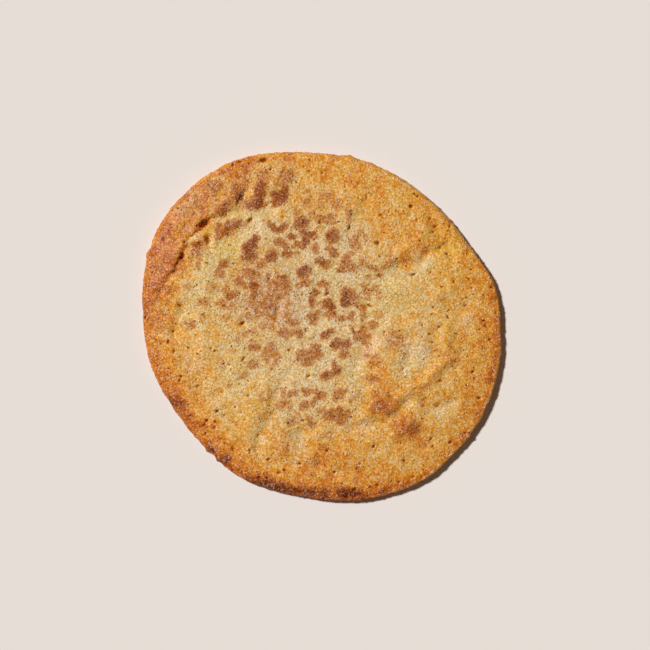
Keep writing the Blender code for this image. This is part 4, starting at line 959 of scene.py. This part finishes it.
# ==== materials ==========================================================================
def linear(r, g, b):
    def one(v):
        v /= 255.0
        return v / 12.92 if v <= 0.04045 else ((v + 0.055) / 1.055) ** 2.4
    return (one(r), one(g), one(b), 1.0)


class Tree:
    """Short hand for a material's nodes."""

    def __init__(self, name):
        self.material = bpy.data.materials.new(name)
        self.material.use_nodes = True
        self.tree = self.material.node_tree
        self.shader = self.tree.nodes["Principled BSDF"]

    def node(self, kind, **settings):
        made = self.tree.nodes.new(kind)
        for key, value in settings.items():
            setattr(made, key, value)
        return made

    def wire(self, source, target):
        self.tree.links.new(source, target)

    def put(self, socket, value):
        if hasattr(value, "is_output") or isinstance(value, bpy.types.NodeSocket):
            self.wire(value, socket)
        else:
            socket.default_value = value

    def maths(self, operation, a, b=0.0, c=None, clamp=False):
        made = self.node("ShaderNodeMath", operation=operation, use_clamp=clamp)
        self.put(made.inputs[0], a)
        self.put(made.inputs[1], b)
        if c is not None:
            self.put(made.inputs[2], c)
        return made.outputs[0]

    def mask(self, name):
        return self.node("ShaderNodeAttribute", attribute_name=name).outputs["Fac"]

    def grain(self, coords, scale, detail=2.0, roughness=0.5):
        made = self.node("ShaderNodeTexNoise")
        self.wire(coords, made.inputs["Vector"])
        made.inputs["Scale"].default_value = scale
        made.inputs["Detail"].default_value = detail
        made.inputs["Roughness"].default_value = roughness
        return made.outputs["Fac"]

    def cells(self, coords, scale, feature="SMOOTH_F1", smoothness=0.35, output="Distance"):
        made = self.node("ShaderNodeTexVoronoi", feature=feature)
        self.wire(coords, made.inputs["Vector"])
        made.inputs["Scale"].default_value = scale
        if feature == "SMOOTH_F1":
            made.inputs["Smoothness"].default_value = smoothness
        return made.outputs[output]

    def span(self, value, low, high, to_low=0.0, to_high=1.0):
        made = self.node("ShaderNodeMapRange", interpolation_type="SMOOTHSTEP")
        self.put(made.inputs["Value"], value)
        made.inputs["From Min"].default_value = low
        made.inputs["From Max"].default_value = high
        made.inputs["To Min"].default_value = to_low
        made.inputs["To Max"].default_value = to_high
        return made.outputs["Result"]

    def mix(self, factor, a, b, blend="MIX"):
        made = self.node("ShaderNodeMix", data_type="RGBA", blend_type=blend)
        self.put(made.inputs[0], factor)
        self.put(made.inputs[6], a)
        self.put(made.inputs[7], b)
        return made.outputs[2]

    def ramp(self, value, stops):
        made = self.node("ShaderNodeValToRGB")
        self.wire(value, made.inputs["Fac"])
        elements = made.color_ramp.elements
        while len(elements) > 1:
            elements.remove(elements[-1])
        elements[0].position, elements[0].color = stops[0]
        for place, colour in stops[1:]:
            elements.new(place).color = colour
        return made.outputs["Color"]

    def object_mm(self):
        coords = self.node("ShaderNodeTexCoord")
        mapping = self.node("ShaderNodeMapping")
        self.wire(coords.outputs["Object"], mapping.inputs["Vector"])
        mapping.inputs["Scale"].default_value = (1000.0, 1000.0, 1000.0)
        return mapping.outputs["Vector"]


BAKE_STOPS = (
    (0.00, linear(228, 210, 181)),
    (0.20, linear(230, 207, 170)),
    (0.38, linear(231, 198, 147)),
    (0.52, linear(230, 183, 104)),
    (0.66, linear(226, 161, 67)),
    (0.78, linear(211, 135, 52)),
    (0.90, linear(182, 103, 37)),
    (1.00, linear(122, 57, 14)),
)
CINNAMON_STOPS = (
    (0.10, linear(221, 190, 150)),
    (0.34, linear(211, 166, 120)),
    (0.60, linear(195, 133, 75)),
    (0.95, linear(150, 77, 19)),
)
MASKS = ("bake", "cinnamon", "veil", "cream", "skin", "pit", "amber")


def crust_colour(t, coords):
    """The crust's colour from its masks, with grain of its own at every scale."""
    def part(value, amount):
        return t.maths("MULTIPLY", t.maths("SUBTRACT", value, 0.5), amount)

    def total(first, *others):
        for other in others:
            first = t.maths("ADD", first, other)
        return first

    fine = t.grain(coords, 2.1, 2.0, 0.6)
    tiny = t.grain(coords, 5.5, 1.0, 0.5)
    patch = t.grain(coords, 0.80, 2.0, 0.55)
    broad = t.grain(coords, 0.36, 2.0, 0.6)
    bits = t.node("ShaderNodeTexVoronoi", feature="F1")
    t.wire(coords, bits.inputs["Vector"])
    bits.inputs["Scale"].default_value = 1.75
    own = t.node("ShaderNodeSeparateColor")
    t.wire(bits.outputs["Color"], own.inputs[0])

    crumbs = t.node("ShaderNodeTexVoronoi", feature="F1")
    t.wire(coords, crumbs.inputs["Vector"])
    crumbs.inputs["Scale"].default_value = 3.0
    crumb = t.node("ShaderNodeSeparateColor")
    t.wire(crumbs.outputs["Color"], crumb.inputs[0])

    uneven = total(part(fine, 0.13), part(patch, 0.15), part(broad, 0.26), part(tiny, 0.07))
    bake = total(t.mask("bake"), t.maths("MULTIPLY", uneven, t.span(t.mask("bake"), 0.20, 0.48, 0.50, 1.0)))
    dough = t.ramp(bake, BAKE_STOPS)
    cream = t.maths("MULTIPLY", t.mask("cream"), t.span(total(fine, part(patch, 0.6)), 0.25, 0.62, 0.45, 0.95))
    colour = t.mix(cream, dough, linear(222, 202, 170))
    # brown skins, partly the dough's own colour and partly painted shade
    skin = t.span(total(t.mask("skin"), part(fine, 0.40), part(tiny, 0.15), part(patch, 0.5)), 0.10, 0.95)
    colour = t.mix(t.maths("MULTIPLY", skin, 0.92), colour, t.ramp(total(skin, part(fine, 0.4)), ((0.2, linear(209, 133, 49)), (0.75, linear(178, 99, 30)), (1.0, linear(152, 78, 21)))))
    veil = t.span(total(t.mask("veil"), part(fine, 0.45), part(patch, 0.50), part(tiny, 0.20)), 0.08, 0.80)
    pale = t.span(total(t.mask("bake"), t.maths("MULTIPLY", t.mask("cream"), -0.2)), 0.24, 0.46, 1.0, 0.0)
    speckle = total(part(fine, 0.9), part(tiny, 0.9), part(crumb.outputs[2], 0.25), 0.5)
    dust = t.ramp(speckle, ((0.15, linear(179, 97, 25)), (0.5, linear(192, 121, 48)), (0.85, linear(208, 147, 88))))
    dust = t.mix(pale, dust, t.ramp(speckle, ((0.15, linear(176, 116, 68)), (0.5, linear(194, 140, 92)), (0.85, linear(213, 168, 126)))))
    colour = t.mix(t.maths("MULTIPLY", veil, 0.80), colour, dust)
    spice = total(t.mask("cinnamon"), part(fine, 0.50), part(tiny, 0.22), part(own.outputs[1], 0.12))
    powder = t.ramp(total(t.mask("cinnamon"), part(fine, 0.45), part(patch, 0.30), part(own.outputs[2], 0.15)), CINNAMON_STOPS)
    colour = t.mix(t.maths("MULTIPLY", t.span(spice, 0.06, 0.52), 0.96), colour, powder)
    glaze = t.node("ShaderNodeCombineColor")
    glaze.inputs[0].default_value = 1.0
    t.wire(t.maths("SUBTRACT", 1.0, t.maths("MULTIPLY", t.mask("amber"), 0.01)), glaze.inputs[1])
    t.wire(t.maths("SUBTRACT", 1.0, t.maths("MULTIPLY", t.mask("amber"), 0.26)), glaze.inputs[2])
    colour = t.mix(1.0, colour, glaze.outputs[0], "MULTIPLY")
    # grains of half melted sugar: each its own tone, paler on top partly as the sugar's own colour and partly as
    # painted highlight, and darkened in the gaps between them as painted shade
    light = t.maths("ADD", t.maths("MULTIPLY", own.outputs[0], 0.10), 0.94)
    tone = t.node("ShaderNodeCombineColor")
    for i in range(3):
        t.wire(light, tone.inputs[i])
    colour = t.mix(1.0, colour, tone.outputs[0], "MULTIPLY")
    deep = t.span(total(bits.outputs["Distance"], part(fine, -0.80), part(tiny, -0.35)), 0.16, 0.66)
    grain = t.mix(t.maths("MULTIPLY", t.maths("MULTIPLY", own.outputs[1], 0.24), t.maths("SUBTRACT", 1.0, deep)), colour, linear(232, 207, 180))
    # painted shade: the gaps between grains are darkened and deepened in colour
    sunk = t.ramp(deep, ((0.0, (1.0, 1.0, 1.0, 1.0)), (0.5, (0.96, 0.88, 0.68, 1.0)), (1.0, (0.87, 0.64, 0.22, 1.0))))
    sunk_shade_pale = t.ramp(deep, ((0.0, (1.0, 1.0, 1.0, 1.0)), (0.5, (0.97, 0.91, 0.76, 1.0)), (1.0, (0.86, 0.70, 0.36, 1.0))))
    colour = t.mix(1.0, grain, t.mix(pale, sunk, sunk_shade_pale), "MULTIPLY")
    # where sugar lies thickly, the painted shade in its gaps is stronger
    colour = t.mix(t.maths("MULTIPLY", t.maths("MULTIPLY", veil, deep), 0.65), colour, t.mix(1.0, colour, (0.84, 0.64, 0.34, 1.0), "MULTIPLY"))
    # painted highlights: small glints mixed towards a near-white, standing in for sun glints on the sugar
    painted_glint = t.maths("MULTIPLY", t.span(total(own.outputs[2], part(patch, 0.9), part(broad, 0.6)), 0.78, 0.97), t.span(bits.outputs["Distance"], 0.12, 0.40, 1.0, 0.0))
    colour = t.mix(t.maths("MULTIPLY", painted_glint, 0.52), colour, linear(228, 214, 212))
    # the finest crumb: painted shade that darkens and deepens the colour in the gaps between crumbs, and painted
    # highlights as bright points
    sugary = t.maths("MAXIMUM", veil, pale)
    # painted shade in the gaps between crumbs
    gap_shade = t.maths("MULTIPLY", t.span(total(crumbs.outputs["Distance"], part(tiny, -0.45)), 0.56, 0.90), t.maths("ADD", t.maths("MULTIPLY", sugary, 0.44), t.span(t.mask("bake"), 0.46, 0.74, 0.66, 0.92)))
    colour = t.mix(gap_shade, colour, t.mix(1.0, colour, t.mix(pale, (0.72, 0.51, 0.17, 1.0), (0.73, 0.57, 0.28, 1.0)), "MULTIPLY"))
    # painted highlights: bright points on the crumbs
    painted_sparkle = t.maths("MULTIPLY", t.span(crumb.outputs[0], 0.55, 0.98), t.span(crumbs.outputs["Distance"], 0.12, 0.50, 1.0, 0.0))
    colour = t.mix(t.maths("MULTIPLY", painted_sparkle, t.maths("ADD", t.maths("MULTIPLY", veil, 0.30), 0.50)), colour, linear(230, 214, 208))
    # small pores, one to every few millimetres, painted dark as painted shade in the holes
    warp = t.node("ShaderNodeVectorMath", operation="MULTIPLY_ADD")
    wander = t.node("ShaderNodeTexNoise")
    t.wire(coords, wander.inputs["Vector"])
    wander.inputs["Scale"].default_value = 1.3
    wander.inputs["Detail"].default_value = 1.0
    t.wire(wander.outputs["Color"], warp.inputs[0])
    warp.inputs[1].default_value = (0.9, 0.9, 0.9)
    t.wire(coords, warp.inputs[2])
    holes = t.node("ShaderNodeTexVoronoi", feature="F1")
    t.wire(warp.outputs[0], holes.inputs["Vector"])
    holes.inputs["Scale"].default_value = 0.48
    size = t.node("ShaderNodeSeparateColor")
    t.wire(holes.outputs["Color"], size.inputs[0])
    grow = t.span(t.mask("bake"), 0.25, 0.80, 0.52, 1.25)
    off = t.maths("SUBTRACT", holes.outputs["Distance"], t.maths("MULTIPLY", t.maths("MULTIPLY", t.maths("POWER", size.outputs[0], 2.2), 0.16), grow))
    hole = t.span(off, 0.0, 0.06, 1.0, 0.0)
    specks = t.node("ShaderNodeTexVoronoi", feature="F1")
    t.wire(warp.outputs[0], specks.inputs["Vector"])
    specks.inputs["Scale"].default_value = 1.05
    spread = t.node("ShaderNodeSeparateColor")
    t.wire(specks.outputs["Color"], spread.inputs[0])
    off_speck = t.maths("SUBTRACT", specks.outputs["Distance"], t.maths("MULTIPLY", t.maths("MULTIPLY", t.maths("POWER", spread.outputs[0], 3.2), 0.19), grow))
    speck = t.maths("MULTIPLY", t.span(off_speck, 0.0, 0.07, 1.0, 0.0), t.maths("SUBTRACT", 1.0, t.maths("MULTIPLY", veil, 0.7)))
    # painted shade: a darker, deeper-coloured ring round each pore
    rim = t.maths("MAXIMUM", t.span(off, 0.0, 0.16, 0.85, 0.0), t.span(off_speck, 0.0, 0.18, 0.70, 0.0))
    rim = t.maths("MAXIMUM", rim, t.span(t.mask("pit"), 0.02, 0.45, 0.0, 0.9))
    colour = t.mix(rim, colour, t.mix(1.0, colour, (0.91, 0.68, 0.26, 1.0), "MULTIPLY"))
    hole = t.maths("MAXIMUM", hole, t.maths("MULTIPLY", speck, 0.85))
    # painted shade: the pores darkened towards their middles
    pit = t.maths("MAXIMUM", t.maths("MULTIPLY", hole, 0.88), t.span(t.mask("pit"), 0.08, 0.85, 0.0, 1.0))
    shade = t.ramp(pit, ((0.0, (1.0, 1.0, 1.0, 1.0)), (0.5, (0.62, 0.41, 0.09, 1.0)), (1.0, (0.33, 0.15, 0.02, 1.0))))
    return colour, t.mix(1.0, colour, shade, "MULTIPLY"), fine, tiny, hole


def crust_material():
    t = Tree("baked_crust")
    coords = t.object_mm()
    plain, colour, fine, tiny, hole = crust_colour(t, coords)
    t.wire(colour, t.shader.inputs["Base Color"])
    t.wire(t.span(fine, 0.3, 0.7, 0.30, 0.44), t.shader.inputs["Roughness"])
    t.shader.inputs["IOR"].default_value = 1.40
    t.shader.inputs["Specular IOR Level"].default_value = 0.13
    t.shader.inputs["Subsurface Weight"].default_value = 0.20
    t.shader.inputs["Subsurface Radius"].default_value = (1.0, 0.55, 0.25)
    t.shader.inputs["Subsurface Scale"].default_value = 0.0003
    # grains of half melted sugar, and finer crumb between them
    domes = t.cells(coords, 1.75, "SMOOTH_F1", 0.25)
    dents = t.cells(coords, 4.4, "SMOOTH_F1", 0.2)
    height = t.maths("ADD", t.maths("MULTIPLY", domes, -0.55), t.maths("MULTIPLY", dents, -0.15))
    height = t.maths("ADD", height, t.maths("MULTIPLY", fine, 0.50))
    height = t.maths("ADD", height, t.maths("MULTIPLY", tiny, 0.10))
    height = t.maths("SUBTRACT", height, t.maths("MULTIPLY", hole, 0.45))
    bump = t.node("ShaderNodeBump")
    bump.inputs["Strength"].default_value = 1.0
    bump.inputs["Distance"].default_value = 0.00008
    t.wire(height, bump.inputs["Height"])
    t.wire(bump.outputs["Normal"], t.shader.inputs["Normal"])
    return t.material


def sugar_material():
    """Crystals take the colour of the crust that they sit on, paler and glassier; the clearest are painted near-white
    on top as painted glints.
    """
    t = Tree("sugar_crystal")
    coords = t.object_mm()
    colour, holed, fine, tiny, hole = crust_colour(t, coords)
    dim = t.span(t.mask("bake"), 0.74, 0.92, 1.0, 0.25)
    pale = t.mix(t.maths("MULTIPLY", t.span(t.mask("clear_and_glint"), 0.05, 0.85, 0.0, 0.34), dim), colour, linear(228, 206, 186))
    # painted highlights: the clearest tops go near-white
    pale = t.mix(t.maths("MULTIPLY", t.span(t.mask("clear_and_glint"), 0.88, 1.0, 0.0, 0.60), dim), pale, linear(236, 224, 216))
    t.wire(pale, t.shader.inputs["Base Color"])
    t.wire(t.span(t.mask("clear_and_glint"), 0.0, 1.0, 0.46, 0.24), t.shader.inputs["Roughness"])
    t.shader.inputs["IOR"].default_value = 1.45
    t.shader.inputs["Specular IOR Level"].default_value = 0.35
    bump = t.node("ShaderNodeBump")
    bump.inputs["Strength"].default_value = 0.5
    bump.inputs["Distance"].default_value = 0.00004
    t.wire(t.grain(coords, 9.0, 1.0), bump.inputs["Height"])
    t.wire(bump.outputs["Normal"], t.shader.inputs["Normal"])
    return t.material


def fleck_material():
    t = Tree("ground_cinnamon")
    coords = t.object_mm()
    tone = t.grain(coords, 7.0, 2.0, 0.6)
    t.wire(t.ramp(tone, ((0.30, linear(116, 58, 26)), (0.55, linear(146, 80, 38)), (0.75, linear(176, 108, 58)))), t.shader.inputs["Base Color"])
    t.wire(t.span(tone, 0.3, 0.7, 0.70, 0.9), t.shader.inputs["Roughness"])
    bump = t.node("ShaderNodeBump")
    bump.inputs["Strength"].default_value = 0.6
    bump.inputs["Distance"].default_value = 0.00005
    t.wire(tone, bump.inputs["Height"])
    t.wire(bump.outputs["Normal"], t.shader.inputs["Normal"])
    return t.material


def floor_material():
    t = Tree("pale_floor")
    coords = t.object_mm()
    soft = t.grain(coords, 0.004, 2.0)
    t.wire(t.mix(soft, (0.784, 0.716, 0.664, 1.0), (0.796, 0.727, 0.675, 1.0)), t.shader.inputs["Base Color"])
    t.shader.inputs["Roughness"].default_value = 0.9
    t.shader.inputs["Specular IOR Level"].default_value = 0.1
    return t.material


# ==== scattered grains ===================================================================
CUBE = np.array([[x, y, z] for x in (-1, 1) for y in (-1, 1) for z in (-1, 1)], float)
CUBE_FACES = np.array([[0, 1, 3, 2], [4, 6, 7, 5], [0, 4, 5, 1], [2, 3, 7, 6], [0, 2, 6, 4], [1, 5, 7, 3]])


def random_turns(rng, n):
    q = rng.normal(size=(n, 4))
    q /= np.linalg.norm(q, axis=1, keepdims=True)
    w, x, y, z = q.T
    return np.stack([
        np.stack([1 - 2 * (y * y + z * z), 2 * (x * y - z * w), 2 * (x * z + y * w)], -1),
        np.stack([2 * (x * y + z * w), 1 - 2 * (x * x + z * z), 2 * (y * z - x * w)], -1),
        np.stack([2 * (x * z - y * w), 2 * (y * z + x * w), 1 - 2 * (x * x + y * y)], -1),
    ], 1)


def lying_turns(rng, normal, tilt):
    """Turns for bits that lie on the surface, spun at random and tipped by up to tilt degrees."""
    n = len(normal)
    lean = np.radians(tilt) * np.sqrt(rng.random(n))[:, None]
    way = rng.normal(size=(n, 3))
    way -= normal * (way * normal).sum(1, keepdims=True)
    way /= np.linalg.norm(way, axis=1, keepdims=True)
    up = normal * np.cos(lean) + way * np.sin(lean)
    side = np.cross(up, rng.normal(size=(n, 3)))
    side /= np.linalg.norm(side, axis=1, keepdims=True)
    return np.stack([side, np.cross(up, side), up], 2)


def scatter_on(crust, rng, n, weight):
    """Random places on the crust: points, normals and the corners they came from."""
    points = crust["points"]
    quads = crust["quads"]
    quads = quads[(quads < crust["base"]).all(1)]
    a, b, c, d = (points[quads[:, i]] for i in range(4))
    area = np.linalg.norm(np.cross(c - a, d - b), axis=1) / 2
    chance = area * weight[quads].mean(1)
    chance /= chance.sum()
    pick = rng.choice(len(quads), size=n, p=chance)
    s, t = rng.random((n, 1)), rng.random((n, 1))
    q = quads[pick]
    place = points[q[:, 0]] * (1 - s) * (1 - t) + points[q[:, 1]] * s * (1 - t) + points[q[:, 2]] * s * t + points[q[:, 3]] * (1 - s) * t
    normal = np.cross(points[q[:, 2]] - points[q[:, 0]], points[q[:, 3]] - points[q[:, 1]])
    normal /= np.maximum(np.linalg.norm(normal, axis=1, keepdims=True), 1e-12)
    return place, normal, q


def joined_bits(name, place, half, turns, shape_jitter, rng, shift):
    """One mesh of many small blocks: half is each block's three half sizes."""
    n = len(place)
    corners = CUBE[None] * (1 + shape_jitter * (rng.random((n, 8, 3)) - 0.5))
    local = corners * half[:, None, :]
    world = np.einsum("nij,nkj->nki", turns, local) + place[:, None, :]
    world = world.reshape(-1, 3)
    world[:, 2] = np.maximum(world[:, 2], 0.01)
    faces = (CUBE_FACES[None] + 8 * np.arange(n)[:, None, None]).reshape(-1, 4)
    return mesh_of(name, world, [faces], shift)


def build_sugar(crust, shift):
    rng = np.random.default_rng(SEED + 1)
    weight = 0.55 + 0.5 * np.clip(crust["cinnamon"] + crust["veil"], 0, 1) + 0.45 * smooth((crust["bake"] - 0.35) / 0.35)
    weight *= (1 - 0.9 * np.clip(crust["pit"], 0, 1)) * (1 - 0.7 * smooth((crust["bake"] - 0.84) / 0.12))
    side = np.arange(len(weight)) >= crust["top"]
    weight = np.where(side, 0.35, weight)
    weight = np.where(crust["points"][:, 2] < 0.5, 0.05, weight)
    place, normal, q = scatter_on(crust, rng, SUGAR_GRAINS, weight)
    size = 0.11 + 0.09 * rng.random(SUGAR_GRAINS) ** 1.6
    half = size[:, None] * (0.70 + 0.6 * rng.random((SUGAR_GRAINS, 3)))
    sunk = half[:, 2] * -(0.50 + 0.40 * rng.random(SUGAR_GRAINS))
    place = place + normal * sunk[:, None]
    mesh = joined_bits("sugar_crystals", place, half, lying_turns(rng, normal, 17.0), 0.35, rng, shift)
    for name in MASKS:
        put_attribute(mesh, name, np.repeat(crust[name][q].mean(1), 8))
    # clear on top, where the clearest carry painted glints, and the colour of the crust at the foot
    clear_and_glint = rng.random(SUGAR_GRAINS)[:, None] ** 1.8 * np.where(CUBE[None, :, 2] > 0, 1.0, 0.15)
    put_attribute(mesh, "clear_and_glint", clear_and_glint.ravel())
    return mesh


def build_flecks(crust, shift):
    rng = np.random.default_rng(SEED + 2)
    weight = 0.01 + 1.6 * np.clip(crust["cinnamon"], 0, 1) ** 1.2 + 0.25 * np.clip(crust["veil"], 0, 1)
    side = np.arange(len(weight)) >= crust["top"]
    weight = np.where(side, 0.05, weight)
    place, normal, q = scatter_on(crust, rng, CINNAMON_FLECKS, weight)
    size = 0.055 + 0.075 * rng.random(CINNAMON_FLECKS) ** 2
    half = size[:, None] * (0.6 + 0.9 * rng.random((CINNAMON_FLECKS, 3)))
    place = place + normal * (rng.random(CINNAMON_FLECKS) * 0.03 - 0.01)[:, None]
    return joined_bits("cinnamon_flecks", place, half, random_turns(rng, CINNAMON_FLECKS), 0.5, rng, shift)


# ==== put together =======================================================================
def add(mesh, material, smooth_shaded=False):
    piece = bpy.data.objects.new(mesh.name, mesh)
    bpy.context.scene.collection.objects.link(piece)
    piece.data.materials.append(material)
    if smooth_shaded:
        mesh.shade_smooth()
    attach(piece, "root")
    return piece


shift = pole_place()
crust = build_crust()
mesh = mesh_of("snickerdoodle_crust", crust["points"], [crust["quads"], crust["tris"]], shift)
for mask in MASKS:
    put_attribute(mesh, mask, crust[mask])
lay_out(mesh, crust)
cookie = add(mesh, crust_material(), smooth_shaded=True)
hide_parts("snickerdoodle")
sugar = add(build_sugar(crust, shift), sugar_material())
flecks = add(build_flecks(crust, shift), fleck_material())
print("triangles", [(o.name, sum(len(p.vertices) - 2 for p in o.data.polygons)) for o in (cookie, sugar, flecks)])

# ==== floor, lamp and camera =============================================================
floor_mesh = bpy.data.meshes.new("floor")
floor_mesh.from_pydata([(-6, -6, 0), (6, -6, 0), (6, 6, 0), (-6, 6, 0)], [], [(0, 1, 2, 3)])
floor = bpy.data.objects.new("floor", floor_mesh)
floor.location = (0, 0, -0.00002)
bpy.context.scene.collection.objects.link(floor)
floor_mesh.materials.append(floor_material())

LAMP_FROM, LAMP_HEIGHT = 150.0, 53.0  # direction that the light comes from, and its height
FILL = (0.106, 0.076, 0.057)  # share of the floor's light that comes from all round: red, green, blue

lamp_data = bpy.data.lights.new("key_lamp", "SUN")
lamp_data.energy = math.pi / math.sin(math.radians(LAMP_HEIGHT))
lamp_data.color = tuple(1 - share for share in FILL)
lamp_data.angle = math.radians(7.0)
lamp = bpy.data.objects.new("key_lamp", lamp_data)
bpy.context.scene.collection.objects.link(lamp)
a, e = math.radians(LAMP_FROM), math.radians(LAMP_HEIGHT)
towards = Vector((math.cos(a) * math.cos(e), math.sin(a) * math.cos(e), math.sin(e)))
lamp.rotation_euler = towards.to_track_quat("Z", "Y").to_euler()
lamp.location = towards * 1.5

world = bpy.data.worlds.new("studio")
world.use_nodes = True
background = world.node_tree.nodes["Background"]
path = world.node_tree.nodes.new("ShaderNodeLightPath")
shade = world.node_tree.nodes.new("ShaderNodeMix")
shade.data_type = "RGBA"
shade.inputs[6].default_value = (*FILL, 1.0)
shade.inputs[7].default_value = (0.78, 0.72, 0.67, 1.0)
world.node_tree.links.new(path.outputs["Is Camera Ray"], shade.inputs[0])
world.node_tree.links.new(shade.outputs[2], background.inputs["Color"])
background.inputs["Strength"].default_value = 1.0
bpy.context.scene.world = world

camera_data = bpy.data.cameras.new("camera")
camera_data.lens = 120.0
camera_data.sensor_width = 36.0
camera_data.sensor_fit = "AUTO"
camera_data.clip_start, camera_data.clip_end = 0.01, 50.0
camera = bpy.data.objects.new("camera", camera_data)
bpy.context.scene.collection.objects.link(camera)
PLANE = 3.0 * MM  # the edge, which the photograph's scale is read at
centre = at(325.0, 325.0)
camera.location = (
    (centre[0] + shift[0]) * MM,
    (centre[1] + shift[1]) * MM,
    PLANE + 650 * K * MM * camera_data.lens / camera_data.sensor_width,
)
camera.rotation_euler = (0.0, 0.0, 0.0)
bpy.context.scene.camera = camera

bpy.context.scene.view_settings.view_transform = "Standard"
bpy.context.scene.view_settings.look = "None"
bpy.context.scene.view_settings.exposure = 0.0
bpy.context.scene.view_settings.gamma = 1.0
